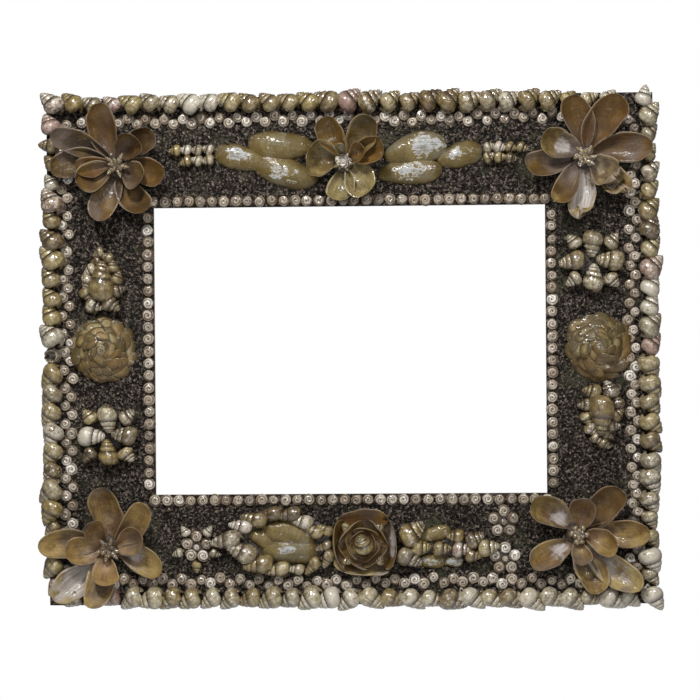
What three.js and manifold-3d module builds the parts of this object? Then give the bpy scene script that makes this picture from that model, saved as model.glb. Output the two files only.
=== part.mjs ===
// A shell-work picture frame: a flat wooden frame, its face coated with dark grit and set with
// borders of whelk-like spire shells and small button spirals, four corner flowers of mussel valves,
// and a wreath of smaller flowers, sprays and rosettes between them.
// Millimetres. The frame hangs upright: X to the right, Z up, and the shells look along -Y.
// The origin is the wall mount, on the back of the top rail at mid width.
import * as THREE from "three";
import { mergeVertices } from "three/addons/utils/BufferGeometryUtils.js";
import Module from "manifold-3d";

const wasm = await Module();
wasm.setup();

// Driving dimensions of the wooden frame
const BOARD_WIDTH = 484;
const BOARD_HEIGHT = 406;
const BOARD_DEPTH = 13;
const SIGHT_WIDTH = 313;
const SIGHT_HEIGHT = 230;
const REBATE_WIDTH = 6;
const REBATE_DEPTH = 8;
const GRIT_DEPTH = 1.5;

// The grit's surface, on which every shell is bedded, and the thickness of the putty under a group
const FACE = BOARD_DEPTH + GRIT_DEPTH;
const PUTTY = 0.8;
const CLEARANCE = 0.3;

// The mount is half way up the top rail
const STILE_WIDTH = (BOARD_WIDTH - SIGHT_WIDTH) / 2;
const RAIL_HEIGHT = (BOARD_HEIGHT - SIGHT_HEIGHT) / 2;
const MOUNT_HEIGHT = (SIGHT_HEIGHT + RAIL_HEIGHT) / 2;

// Outer row: spire shells whose points lean outwards and away from the middle of their side
const SPIRE_HEIGHT = 11;
const SPIRE_LEAN = 52;
const OUTER_INSET_SIDE = 3.5;
const OUTER_INSET_END = 5.5;

// Inner borders: button spirals in a zigzag band beside the outer row, and in one row at the sight edge
const BUTTON_RADIUS = 4.5;
const BUTTON_HEIGHT = 4;
const BAND_RADIUS = 4;
const BAND_X = 224.8;
const BAND_Y = 184;
const BAND_SWING = 2.1;
const BAND_PITCH = 8.1;
const CORNER_GAP = 8;
const SIGHT_INSET = 5;
const SIGHT_PITCH = 9.5;

// Mussel valves: wall thickness, depth of the cup as a share of its width, and the two tiers of petals,
// each with the rise of its lips over its hinges, greater by a step in every second petal
const VALVE_WALL = 1.5;
const VALVE_CUP = 0.27;
const LOW_RISE = 9;
const HIGH_RISE = 14;
const RISE_STEP = 5;
const LOW_START = 5.5;
const HIGH_START = 4;
const LOW_SEAT = 5;
const HIGH_SEAT = 8;
const FLOWER_PUTTY = [9.5, 4.2, 9];

// Corner flowers: centre on the face, then [direction in degrees, reach, width] of the spread petals
// and of the steeper petals inside them
const CORNER_FLOWERS = {
  top_left: {
    centre: [-184, 148],
    low: [
      [107, 51, 22], [152, 56, 20], [180, 52, 23], [253, 47, 21],
      [301, 44, 23], [348, 41, 21], [43, 40, 20],
    ],
    high: [[181, 31, 15], [207, 33, 22], [333, 25, 21], [57, 27, 21]],
  },
  top_right: {
    centre: [187, 151],
    low: [
      [103, 49, 23], [60, 54, 26], [9, 53, 22], [319, 45, 20],
      [264, 41, 22], [235, 45, 20], [185, 48, 20],
    ],
    high: [[152, 38, 22], [323, 29, 22]],
  },
  bottom_left: {
    centre: [-193, -157],
    low: [
      [95, 50, 24], [47, 49, 20], [340, 47, 21],
      [254, 47, 21], [223, 58, 24], [174, 54, 22],
    ],
    high: [[18, 31, 22], [269, 27, 20], [183, 32, 21], [118, 26, 18]],
  },
  bottom_right: {
    centre: [180, -147],
    low: [
      [143, 46, 22], [46, 49, 23], [2, 55, 20],
      [318, 63, 22], [287, 48, 23], [212, 45, 20],
    ],
    high: [[82, 30, 20], [340, 30, 18], [274, 23, 15]],
  },
};
const STAMEN_COUNT = 5;
const STAMEN_LENGTH = 9;
const STAMEN_WIDTH = 3.4;
const STAMEN_TILT = 48;

// Flower at the middle of the top rail
const TOP_FLOWER = {
  centre: [-3.6, 148],
  low: [[264, 33, 20], [308, 35, 22]],
  high: [[117, 33, 20], [62, 34, 21], [188, 28, 20], [10, 23, 15]],
};
const TOP_HEART_RADIUS = 4.6;

// Mussel valves laid hollow side down as leaves: [x, y, length, width, direction in degrees].
// In each group the first valve lies on top, and those after it are tucked under it.
const LEAF_HEIGHT = 0.38;
const TOP_LEAVES = {
  left: {
    lower: [-50, 143.5, 52, 22.5, -14],
    upper: [-53.6, 163.2, 50, 22, -10],
    outer: [-85.6, 154.8, 42, 19, -8],
  },
  right: {
    upper: [53.6, 158.8, 49, 24.5, 5],
    lower: [49, 140.4, 50, 19, 6],
    outer: [89, 154, 34, 19, 11],
  },
};

// Trails of small spires running out from the leaves
const TRAIL_START = 111.5;
const TRAIL_PITCH = 9.6;
const TRAIL_ROWS = [[160.2, 4], [151.6, 3]];
const TRAIL_HALF_WIDTH = 4.5;
const TRAIL_HEIGHT = 6.5;

// Rose at the middle of the bottom rail: [direction, start radius, length, width, tilt] of each petal
const ROSE_CENTRE = [9.6, -153.6];
const ROSE_PETALS = [
  [90, 11, 21, 42, 42], [182, 12, 19, 40, 50], [0, 12, 19, 40, 50], [268, 11, 19, 42, 40],
  [20, 8.5, 14, 26, 62], [150, 8.5, 14, 26, 62], [268, 8.5, 14, 26, 62],
];
const ROSE_PUTTY_RADIUS = 14;
const ROSE_PUTTY_HEIGHT = 5;
const ROSE_BUD = [13, 12, 9];

// Sprays on each side of the rose: valves laid as leaves, and [x, y, direction, length] of the spires
const SPRAYS = {
  left: {
    bed: [-58.5, -151.8, 43, 23.5],
    valves: {
      lower: [-48.5, -158.5, 40, 18, 3],
      upper: [-48.8, -144.2, 38, 16, -8],
      inner: [-74, -151.5, 19, 12, -5],
    },
    spires: [
      [-97, -150.5, 182, 25], [-89, -139.8, 178, 19], [-75.5, -134.5, 172, 21], [-63, -130.5, 184, 19],
      [-47.5, -130, 186, 19], [-34, -133.5, 180, 17], [-24, -143, 165, 13], [-21, -154.5, 195, 12],
      [-20.5, -165, 265, 12], [-30, -171, 230, 13], [-43, -174, 182, 14], [-57, -173.5, 186, 20],
      [-72, -169.5, 186, 21], [-85, -161, 165, 23],
    ],
  },
  right: {
    bed: [76, -156.5, 34, 13.5],
    valves: {
      upper: [67, -147.5, 23, 9, 22],
      lower: [64, -168.2, 20, 9, -6],
      outer: [81.5, -169.2, 13, 8, 10],
    },
    spires: [
      [47, -146, 38, 22], [44.5, -164, -25, 21], [54, -157, 0, 16], [71, -158, 4, 15],
      [84, -148.5, 180, 14], [86, -158.5, 0, 15], [97, -151, 25, 16], [107.5, -157.4, 10, 17],
      [96, -163.6, -5, 13],
    ],
  },
};
const SPRAY_WIDTH = 0.52;
const SPRAY_HEIGHT = 0.46;

// Florets of five button spirals
const FLORETS = { left: [-123.2, -156.4], right_upper: [121.2, -137.2], right_lower: [122.4, -166.6] };
const FLORET_PETALS = 5;
const FLORET_RADIUS = 7.2;
const FLORET_SPIRES_AT = 15.5;
const FLORET_SPIRE = [10, 7, 5.5];

// Medallions on the stiles: teardrop, rosette and star, with the spires of the teardrop and the star
const TEARDROPS = { left: [-197, 56, 90], right: [199, -52.5, -90] };
const TEARDROP_SPIRE = [33, 20, 12];
const TEARDROP_RING = 10;
const TEARDROP_HALF = [23, 15];
const TEARDROP_BEAD = [12, 8.5, 7];
const STARS = { left: [-193, -67], right: [193, 69] };
const STAR_ARMS = 4;
const STAR_LONG = [20, 14, 10];
const STAR_SHORT = [13, 9.5, 7];
const STAR_LONG_AT = 12.5;
const STAR_SHORT_AT = 20.5;
const ROSETTES = { left: [-197.6, 1.5, 25.5], right: [197.6, 1.6, 25.5] };
const ROSETTE_SCALES = 9;
const ROSETTE_TIERS = 4;
const ROSETTE_TIER_HEIGHT = 3.4;
const ROSETTE_FOOT = 0.76;

const GOLD = new THREE.MeshStandardMaterial({ color: 0x9a8450, roughness: 0.4, metalness: 0 });
const CHALK = new THREE.MeshStandardMaterial({ color: 0xb3a58c, roughness: 0.55, metalness: 0 });
const AMBER = new THREE.MeshStandardMaterial({ color: 0x7b623d, roughness: 0.35, metalness: 0 });
const GRIT = new THREE.MeshStandardMaterial({ color: 0x35302b, roughness: 0.95, metalness: 0 });
const WOOD = new THREE.MeshStandardMaterial({ color: 0x5c4531, roughness: 0.8, metalness: 0 });

const radians = THREE.MathUtils.degToRad;

// A closed skin over rings of [x, y, z] points: each ring is joined to the next, a ring of one point
// is a tip, and the first and last rings are closed flat. Faces are turned to point outwards.
function loft(rings) {
  const points = rings.flat();
  const faces = [];
  let start = 0;
  rings.forEach((ring, i) => {
    const last = i === 0 || i === rings.length - 1;
    for (let k = 1; last && k < ring.length - 1; k++) {
      faces.push(i ? [start, start + k, start + k + 1] : [start, start + k + 1, start + k]);
    }
    const next = rings[i + 1];
    const above = start + ring.length;
    const sides = next ? Math.max(ring.length, next.length) : 0;
    for (let k = 0; k < sides; k++) {
      const here = [start + (k % ring.length), start + ((k + 1) % ring.length)];
      const there = next && [above + (k % next.length), above + ((k + 1) % next.length)];
      if (here[0] !== here[1]) faces.push([here[0], here[1], there[1]]);
      if (there[0] !== there[1]) faces.push([here[0], there[1], there[0]]);
    }
    start = above;
  });
  const skin = new THREE.BufferGeometry();
  skin.setAttribute("position", new THREE.Float32BufferAttribute(points.flat(), 3));
  skin.setIndex(volume(points, faces) < 0 ? faces.map(([a, b, c]) => [a, c, b]).flat() : faces.flat());
  return skin;
}

// Signed volume enclosed by triangles, positive where they point outwards
function volume(points, faces) {
  const [a, b, c] = [new THREE.Vector3(), new THREE.Vector3(), new THREE.Vector3()];
  return faces.reduce((sum, [i, j, k]) => {
    a.fromArray(points[i]);
    return sum + a.dot(b.fromArray(points[j]).cross(c.fromArray(points[k]))) / 6;
  }, 0);
}

function toSolid(geometry) {
  const bare = new THREE.BufferGeometry();
  bare.setAttribute("position", geometry.getAttribute("position"));
  bare.setIndex(geometry.getIndex());
  const merged = mergeVertices(bare);
  const mesh = new wasm.Mesh({
    numProp: 3,
    vertProperties: merged.getAttribute("position").array,
    triVerts: new Uint32Array(merged.getIndex().array),
  });
  return new wasm.Manifold(mesh);
}

function toGeometry(solid) {
  const mesh = solid.getMesh();
  const geometry = new THREE.BufferGeometry();
  geometry.setAttribute("position", new THREE.BufferAttribute(mesh.vertProperties, 3));
  geometry.setIndex(new THREE.BufferAttribute(mesh.triVerts, 1));
  return geometry;
}

function fuse(geometries) {
  return toGeometry(geometries.map(toSolid).reduce((whole, next) => whole.add(next)));
}

// Regular polygon at a height, the first corner on +x
function polygon(sides, radiusX, radiusY, z) {
  return Array.from({ length: sides }, (_, k) => {
    const angle = (2 * Math.PI * k) / sides;
    return [radiusX * Math.cos(angle), radiusY * Math.sin(angle), z];
  });
}

// A spire shell lying on its side: the whorls swell from the mouth at -x and taper to the point at +x
function spireShell(length, width, height) {
  const section = (x, share) => [
    [x, (share * width) / 2, 0],
    [x, share * width * 0.27, share * height],
    [x, -share * width * 0.27, share * height],
    [x, (-share * width) / 2, 0],
  ];
  return loft([section(-0.42 * length, 0.55), section(-0.1 * length, 1), [[0.58 * length, 0, 0.2 * height]]]);
}

// A straight run of shells in one piece: at each station, [distance along, inner edge, outer edge, height]
// with the edges measured outwards from the run's own line
function shellRun([ax, ay], [bx, by], stations) {
  const along = new THREE.Vector2(bx - ax, by - ay).normalize();
  const ring = ([distance, inner, outer, height]) => {
    const at = (out, z) => [ax + along.x * distance - along.y * out, ay + along.y * distance + along.x * out, z];
    return [at(inner, 0), at(outer, 0), at((inner + outer) / 2, height)];
  };
  return loft(stations.map(ring));
}

// Middles of a number of equal shares of a length
function shares(length, count) {
  return Array.from({ length: count }, (_, i) => (length * (i + 0.5)) / count);
}

// One mussel valve, hollow side up: hinge point at the origin, lip at +x, rim in the plane z = 0
function valve(length, width) {
  const depth = VALVE_CUP * Math.min(width, length);
  const stations = [[0, 0.1, 0], [0.62, 0.5, 0.9], [1, 0.24, 0]];
  const across = [-1, 0, 1];
  return loft(stations.map(([along, half, hollow]) => {
    const wall = across.map((t) => {
      return [along * length, t * half * width, -depth * hollow * (1 - t * t)];
    });
    const outside = [...wall].reverse().map(([x, y, z]) => [x, y, z - VALVE_WALL]);
    return [...wall, ...outside];
  }));
}

// One mussel valve laid hollow side down, as a leaf: hinge end at -x
function leafValve(length, width) {
  const height = LEAF_HEIGHT * width;
  const ring = (share, z) => polygon(8, (share * length) / 2, (share * width) / 2, z);
  return loft([ring(1, 0), ring(0.72, 0.68 * height), [[0, 0, height]]]);
}

// Leaves that overlap: each is cut back clear of those that lie on top of it
function leafGroup(group, nameOf, z) {
  const placed = ([x, y, length, width, degrees], grow) => {
    return toSolid(setDown(leafValve(length + 2 * grow, width + 2 * grow), x, y, degrees));
  };
  const above = [];
  return Object.entries(group).map(([place, leaf]) => {
    const left = above.reduce((rest, other) => rest.subtract(placed(other, CLEARANCE)), placed(leaf, 0));
    above.push(leaf);
    return piece(nameOf(place), toGeometry(left), AMBER, 0, 0, z);
  });
}

// A flat bed of putty with an oval outline
function ovalBed(halfX, halfY, height = PUTTY) {
  return loft([polygon(8, halfX, halfY, 0), polygon(8, halfX, halfY, height)]);
}

// Turns a shape about the face's normal and moves it to a point of the face
function setDown(geometry, x, y, degrees = 0, z = 0) {
  return geometry.rotateZ(radians(degrees)).translate(x, y, z);
}

// Lifts the lip of a valve, moves its hinge out from a flower's axis and turns it to its direction
function petal(length, width, { direction, tilt, start, seat }) {
  const shape = valve(length, width).rotateY(-radians(tilt)).translate(start, 0, seat);
  return shape.rotateZ(radians(direction));
}

function piece(name, geometry, material, x = 0, y = 0, z = FACE, degrees = 0) {
  const mesh = new THREE.Mesh(geometry, material);
  mesh.name = name;
  mesh.position.set(x, y, z);
  mesh.rotation.z = radians(degrees);
  return mesh;
}

// The wooden frame: two stiles of full height and two rails between them, rebated behind the sight edge
function woodenFrame() {
  const recess = new THREE.BoxGeometry(
    SIGHT_WIDTH + 2 * REBATE_WIDTH, SIGHT_HEIGHT + 2 * REBATE_WIDTH, REBATE_DEPTH,
  ).translate(0, 0, REBATE_DEPTH / 2);
  const board = (name, width, height, x, y) => {
    const blank = new THREE.BoxGeometry(width, height, BOARD_DEPTH).translate(x, y, BOARD_DEPTH / 2);
    return piece(name, toGeometry(toSolid(blank).subtract(toSolid(recess))), WOOD, 0, 0, 0);
  };
  const stileX = (SIGHT_WIDTH + STILE_WIDTH) / 2;
  return [
    board("left_stile", STILE_WIDTH, BOARD_HEIGHT, -stileX, 0),
    board("right_stile", STILE_WIDTH, BOARD_HEIGHT, stileX, 0),
    board("top_rail", SIGHT_WIDTH, RAIL_HEIGHT, 0, MOUNT_HEIGHT),
    board("bottom_rail", SIGHT_WIDTH, RAIL_HEIGHT, 0, -MOUNT_HEIGHT),
  ];
}

// The grit, one flat coat over the whole face of the frame
function gritCoat() {
  const rectangle = (width, height) => [
    new THREE.Vector2(-width / 2, -height / 2), new THREE.Vector2(width / 2, -height / 2),
    new THREE.Vector2(width / 2, height / 2), new THREE.Vector2(-width / 2, height / 2),
  ];
  const coat = new THREE.Shape(rectangle(BOARD_WIDTH, BOARD_HEIGHT));
  coat.holes.push(new THREE.Path(rectangle(SIGHT_WIDTH, SIGHT_HEIGHT)));
  return piece("grit_coat", new THREE.ExtrudeGeometry(coat, { depth: GRIT_DEPTH, bevelEnabled: false }),
    GRIT, 0, 0, BOARD_DEPTH);
}

// The outer row: each shell's point leans away from the middle of the side. The row stops short where
// shells are lost, at the right end of the top and at the lower left corner.
function outerRows() {
  const sideX = BOARD_WIDTH / 2 - OUTER_INSET_SIDE;
  const endY = BOARD_HEIGHT / 2 - OUTER_INSET_END;
  const rows = {
    top: { from: [213, endY], to: [-241, endY], count: 29 },
    right: { from: [sideX, -199], to: [sideX, 193], count: 25 },
    bottom: { from: [-229, -endY], to: [228, -endY], count: 28 },
    left: { from: [-sideX, 188], to: [-sideX, -186], count: 26 },
  };
  return Object.entries(rows).map(([side, { from, to, count }]) => {
    const run = new THREE.Vector2(to[0] - from[0], to[1] - from[1]);
    const start = run.clone().normalize().dot(new THREE.Vector2(...from));
    const stations = shares(run.length(), count).flatMap((middle) => {
      const lean = Math.sign(start + middle) || 1;
      return spireStations(middle, lean, run.length() / count, 6.6, SPIRE_HEIGHT);
    });
    return piece(`outer_row_${side}`, shellRun(from, to, stations), GOLD);
  });
}

// Stations of one leaning spire in a run: the hollow before it, its body and its point
function spireStations(middle, lean, pitch, half, height) {
  const tip = pitch * 0.72 * Math.sin(radians(SPIRE_LEAN)) * 0.7;
  const stations = [
    [middle - lean * pitch * 0.42, 0.62 * half, -0.5 * half, 0.35 * height],
    [middle - lean * pitch * 0.1, half, -0.85 * half, height],
    [middle + lean * tip, 0.55 * half, -1.45 * half, 0.55 * height],
  ];
  return lean > 0 ? stations : stations.reverse();
}

// A straight row of button spirals in one piece, beaded, or swinging from side to side where asked
function buttonRow(name, from, to, pitch, swing = 0) {
  const length = Math.hypot(to[0] - from[0], to[1] - from[1]);
  const middles = shares(length, Math.round(length / pitch));
  const stations = middles.flatMap((middle, i) => {
    const side = i % 2 ? swing : -swing;
    const half = swing ? BAND_RADIUS : BUTTON_RADIUS;
    const bead = [middle, side + half, side - half, BUTTON_HEIGHT];
    const neck = [middle + pitch / 2, 0.4 * half, -0.4 * half, 0.4 * BUTTON_HEIGHT];
    return swing ? [bead] : [bead, neck];
  });
  return piece(name, shellRun(from, to, stations), CHALK);
}

function buttonBorders() {
  const band = (side, from, to) => buttonRow(`spiral_band_${side}`, from, to, BAND_PITCH, BAND_SWING);
  const sight = (side, from, to) => buttonRow(`sight_row_${side}`, from, to, SIGHT_PITCH);
  const bandEnd = BAND_X - CORNER_GAP;
  const sightX = SIGHT_WIDTH / 2 + SIGHT_INSET;
  const sightY = SIGHT_HEIGHT / 2 + SIGHT_INSET;
  const sightTop = sightY - CORNER_GAP;
  return [
    band("top", [-bandEnd, BAND_Y], [bandEnd, BAND_Y]),
    band("bottom", [-bandEnd, -BAND_Y], [bandEnd, -BAND_Y]),
    band("left", [-BAND_X, -BAND_Y], [-BAND_X, BAND_Y]),
    band("right", [BAND_X, -BAND_Y], [BAND_X, BAND_Y]),
    sight("top", [-sightX, sightY], [sightX, sightY]),
    sight("bottom", [-sightX, -sightY], [sightX, -sightY]),
    sight("left", [-sightX, -sightTop], [-sightX, sightTop]),
    sight("right", [sightX, -sightTop], [sightX, sightTop]),
  ];
}

// Petals of a flower, spread ones below and steeper ones inside, set in one lump of putty
function flowerPetals({ low, high }) {
  const tier = (rows, leastRise, start, seat) => rows.map(([direction, reach, width], i) => {
    const slope = new THREE.Vector2(reach - start, leastRise + (i % 2) * RISE_STEP);
    const tilt = THREE.MathUtils.radToDeg(slope.angle());
    return petal(slope.length(), width, { direction, tilt, start, seat });
  });
  const [foot, top, height] = FLOWER_PUTTY;
  const lump = loft([polygon(8, foot, foot, 0), polygon(8, top, top, height)]);
  return fuse([
    lump, ...tier(low, LOW_RISE, LOW_START, LOW_SEAT), ...tier(high, HIGH_RISE, HIGH_START, HIGH_SEAT),
  ]);
}

// Stamens of a corner flower: tiny spires fanning out from its middle, one of them upright
function stamens() {
  const half = STAMEN_WIDTH / 2;
  const spire = (tilt, direction) => {
    const shape = loft([[[0, 0, 0]], polygon(3, half, half, 0.35 * STAMEN_LENGTH), [[0, 0, STAMEN_LENGTH]]]);
    return shape.rotateY(radians(tilt)).rotateZ(radians(direction)).translate(0, 0, half);
  };
  const fan = Array.from({ length: STAMEN_COUNT }, (_, i) => spire(STAMEN_TILT, (360 * i) / STAMEN_COUNT));
  const foot = loft([polygon(5, half, half, 0), polygon(5, half, half, STAMEN_WIDTH)]);
  return fuse([foot, spire(0, 0), ...fan]);
}

function cornerFlowers() {
  return Object.entries(CORNER_FLOWERS).flatMap(([corner, flower]) => {
    const [x, y] = flower.centre;
    return [
      piece(`flower_${corner}`, flowerPetals(flower), AMBER, x, y),
      piece(`stamens_${corner}`, stamens(), CHALK, x, y, FACE + FLOWER_PUTTY[2]),
    ];
  });
}

// The flower, leaves and trails of the top rail
function topSpray() {
  const [x, y] = TOP_FLOWER.centre;
  const heart = loft([
    polygon(6, TOP_HEART_RADIUS * 0.6, TOP_HEART_RADIUS * 0.6, 0),
    polygon(6, TOP_HEART_RADIUS, TOP_HEART_RADIUS, TOP_HEART_RADIUS * 0.7),
    [[0, 0, TOP_HEART_RADIUS * 1.6]],
  ]);
  const leaves = Object.entries(TOP_LEAVES).flatMap(([side, group]) => {
    return leafGroup(group, (place) => `leaf_${side}_${place}`, FACE);
  });
  const trail = (side, sign) => {
    const rows = TRAIL_ROWS.map(([rowY, count]) => {
      const from = [sign * (TRAIL_START - TRAIL_PITCH / 2), rowY];
      const to = [from[0] + sign * TRAIL_PITCH * count, rowY];
      return shellRun(from, to, shares(TRAIL_PITCH * count, count).flatMap((middle) => [
        [middle - 0.45 * TRAIL_PITCH, 0.6 * TRAIL_HALF_WIDTH, -0.6 * TRAIL_HALF_WIDTH, 0.4 * TRAIL_HEIGHT],
        [middle, TRAIL_HALF_WIDTH, -TRAIL_HALF_WIDTH, TRAIL_HEIGHT],
      ]));
    });
    return piece(`trail_${side}`, fuse(rows), CHALK);
  };
  return [
    piece("top_flower", flowerPetals(TOP_FLOWER), AMBER, x, y),
    piece("top_flower_heart", heart, CHALK, x, y, FACE + FLOWER_PUTTY[2]),
    ...leaves, trail("left", -1), trail("right", 1),
  ];
}

// The rose of the bottom rail, its bud, and the sprays of valves and spires on each side of it
function bottomSpray() {
  const [roseX, roseY] = ROSE_CENTRE;
  const petals = ROSE_PETALS.map(([direction, start, length, width, tilt]) => {
    return petal(length, width, { direction, tilt, start, seat: ROSE_PUTTY_HEIGHT });
  });
  const lump = ovalBed(ROSE_PUTTY_RADIUS, ROSE_PUTTY_RADIUS, ROSE_PUTTY_HEIGHT);
  const sprays = Object.entries(SPRAYS).flatMap(([side, { bed, valves, spires }]) => {
    const [bedX, bedY, halfX, halfY] = bed;
    const shells = spires.map(([x, y, degrees, length]) => {
      return setDown(spireShell(length, SPRAY_WIDTH * length, SPRAY_HEIGHT * length), x, y, degrees);
    });
    const leaves = leafGroup(valves, (place) => `spray_${side}_${place}_valve`, FACE + PUTTY);
    const wreath = fuse([setDown(ovalBed(halfX, halfY), bedX, bedY), ...shells]);
    return [piece(`spray_${side}`, wreath, GOLD), ...leaves];
  });
  return [
    piece("rose", fuse([lump, ...petals]), AMBER, roseX, roseY),
    piece("rose_bud", spireShell(...ROSE_BUD), GOLD, roseX, roseY, FACE + ROSE_PUTTY_HEIGHT, 150),
    ...sprays,
  ];
}

// Florets of five button spirals round a point, the left one with small spires pointing out round it
function florets() {
  const turns = Array.from({ length: FLORET_PETALS }, (_, i) => 90 + (360 * i) / FLORET_PETALS);
  return Object.entries(FLORETS).map(([place, [x, y]]) => {
    const ring = (size, z) => Array.from({ length: 2 * FLORET_PETALS }, (_, k) => {
      const angle = radians(90 + (180 * k) / FLORET_PETALS);
      const reach = size * (k % 2 ? 0.72 : 1);
      return [reach * Math.cos(angle), reach * Math.sin(angle), z];
    });
    const reach = FLORET_RADIUS + BUTTON_RADIUS;
    const lobes = loft([[[0, 0, 0]], ring(reach, 0), ring(0.6 * reach, BUTTON_HEIGHT), [[0, 0, PUTTY]]]);
    const rays = place === "left" ? turns : [];
    const spires = rays.map((turn) => {
      const spire = spireShell(...FLORET_SPIRE).translate(FLORET_SPIRES_AT, 0, 0);
      return spire.rotateZ(radians(turn - 180 / FLORET_PETALS));
    });
    const bed = spires.length ? [ovalBed(FLORET_SPIRES_AT, FLORET_SPIRES_AT)] : [];
    return piece(`floret_${place}`, fuse([lobes, ...bed, ...spires]), CHALK, x, y);
  });
}

// Teardrops: one large spire with small ones round it on a drop-shaped line, its point at the spire's
function teardrops() {
  const [halfLength, halfWidth] = TEARDROP_HALF;
  return Object.entries(TEARDROPS).map(([side, [x, y, degrees]]) => {
    const beads = Array.from({ length: TEARDROP_RING }, (_, i) => {
      const round = (2 * Math.PI * (i + 0.5)) / TEARDROP_RING;
      const beadX = halfLength * Math.cos(round);
      const beadY = halfWidth * Math.sin(round) * Math.sqrt(Math.sin(round / 2));
      return setDown(spireShell(...TEARDROP_BEAD), beadX, beadY, (round * 180) / Math.PI);
    });
    const shells = [ovalBed(halfLength * 0.9, halfWidth * 0.8), spireShell(...TEARDROP_SPIRE), ...beads];
    return piece(`teardrop_${side}`, fuse(shells), GOLD, x, y, FACE, degrees);
  });
}

// Stars: four large spires pointing to the middle, and four small ones pointing out between them
function stars() {
  return Object.entries(STARS).map(([side, [x, y]]) => {
    const arms = Array.from({ length: STAR_ARMS }, (_, i) => {
      const turn = (360 * i) / STAR_ARMS;
      const long = setDown(spireShell(...STAR_LONG), 0, 0, 180).translate(STAR_LONG_AT, 0, 0);
      const short = spireShell(...STAR_SHORT).translate(STAR_SHORT_AT, 0, 0).rotateZ(radians(180 / STAR_ARMS));
      return [long, short].map((shell) => shell.rotateZ(radians(turn)));
    });
    return piece(`star_${side}`, fuse([ovalBed(STAR_SHORT_AT, STAR_SHORT_AT), ...arms.flat()]), GOLD, x, y);
  });
}

// Rosettes of overlapping scales: each tier of scales is smaller and higher, and turned by half a scale
function rosettes() {
  return Object.entries(ROSETTES).map(([side, [x, y, radius]]) => {
    const ring = (size, z, phase) => Array.from({ length: 2 * ROSETTE_SCALES }, (_, k) => {
      const angle = (Math.PI * k) / ROSETTE_SCALES;
      const reach = size * ((k + phase) % 2 ? 0.9 : 1);
      return [reach * Math.cos(angle), reach * Math.sin(angle), z];
    });
    const tiers = Array.from({ length: ROSETTE_TIERS }, (_, i) => {
      const lip = radius * (1 - i / ROSETTE_TIERS);
      const base = i * ROSETTE_TIER_HEIGHT;
      return [ring(lip * ROSETTE_FOOT, base, i), ring(lip, base + ROSETTE_TIER_HEIGHT * 1.2, i)];
    });
    const tip = [[0, 0, ROSETTE_TIERS * ROSETTE_TIER_HEIGHT]];
    return piece(`rosette_${side}`, loft([[[0, 0, 0]], ...tiers.flat(), tip]), AMBER, x, y);
  });
}

// The face is modelled flat, x to the right and y up, then stood upright on the wall
const face = new THREE.Group();
face.rotation.x = Math.PI / 2;
face.position.z = -MOUNT_HEIGHT;
face.add(
  ...woodenFrame(), gritCoat(), ...outerRows(), ...buttonBorders(), ...cornerFlowers(),
  ...topSpray(), ...bottomSpray(), ...florets(), ...teardrops(), ...stars(), ...rosettes(),
);
const frame = new THREE.Group();
frame.add(face);

export default frame;
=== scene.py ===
"""Dresses the shell picture frame: wood, dark grit, and several hundred varnished sea shells.

Shells are laid out on the frame's face in millimetres: x to the right, y up, z out of the face, with the
middle of the opening at x = y = 0. They are turned into the model's metres only when a mesh is made.
"""
from __future__ import annotations

import logging
import math
from dataclasses import dataclass, field, replace
from enum import Enum, IntEnum

import bpy
import numpy as np
from mathutils import Matrix, Vector

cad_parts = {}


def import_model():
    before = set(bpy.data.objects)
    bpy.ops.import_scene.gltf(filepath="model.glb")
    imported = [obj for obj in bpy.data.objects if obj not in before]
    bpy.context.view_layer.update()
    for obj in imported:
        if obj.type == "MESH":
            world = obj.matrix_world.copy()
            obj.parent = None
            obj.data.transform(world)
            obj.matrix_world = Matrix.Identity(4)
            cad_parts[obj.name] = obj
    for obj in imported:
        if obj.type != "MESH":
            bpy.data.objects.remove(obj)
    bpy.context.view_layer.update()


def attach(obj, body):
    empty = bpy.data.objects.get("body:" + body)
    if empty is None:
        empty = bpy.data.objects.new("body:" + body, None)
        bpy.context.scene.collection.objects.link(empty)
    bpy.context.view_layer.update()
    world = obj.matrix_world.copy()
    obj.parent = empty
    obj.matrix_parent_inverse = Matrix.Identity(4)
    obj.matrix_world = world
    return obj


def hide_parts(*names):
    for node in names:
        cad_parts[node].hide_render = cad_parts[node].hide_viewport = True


log = logging.getLogger("shell_frame")

Colour = tuple[float, float, float]
Pair = tuple[float, float]
Stops = tuple[tuple[float, Colour], ...]


class Side(Enum):
    """The four sides of the frame, each with the direction that points outwards, in degrees."""

    TOP = ("top", 90.0)
    RIGHT = ("right", 0.0)
    BOTTOM = ("bottom", -90.0)
    LEFT = ("left", 180.0)

    @property
    def label(self) -> str:
        """The side's word in node names."""
        return self.value[0]

    @property
    def outwards(self) -> float:
        """The outward direction in degrees."""
        return self.value[1]


class Grain(Enum):
    """Which way the grain of a board runs in the model."""

    ALONG_X = "rail"
    ALONG_Z = "stile"


class Stamen(Enum):
    """The kinds of tiny shells in the heart of a flower."""

    SPIKES = "pointed spires"
    CURLS = "curled pale bits"
    BEADS = "rounded spires"


@dataclass(frozen=True)
class FrameSizes:
    """Sizes of boards, opening and grit in millimetres."""

    board_width: float = 484.0
    board_height: float = 406.0
    board_depth: float = 13.0
    sight_width: float = 313.0
    sight_height: float = 230.0
    rebate_width: float = 6.0
    rebate_depth: float = 8.0
    grit_depth: float = 1.5

    @property
    def face(self) -> float:
        """Height of the grit's face above the back."""
        return self.board_depth + self.grit_depth

    @property
    def stile_width(self) -> float:
        """Width of a stile."""
        return (self.board_width - self.sight_width) / 2

    @property
    def rail_height(self) -> float:
        """Height of a rail."""
        return (self.board_height - self.sight_height) / 2

    @property
    def mount_height(self) -> float:
        """Height of the model's origin above the middle of the opening."""
        return (self.sight_height + self.rail_height) / 2


SIZES = FrameSizes()


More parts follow.
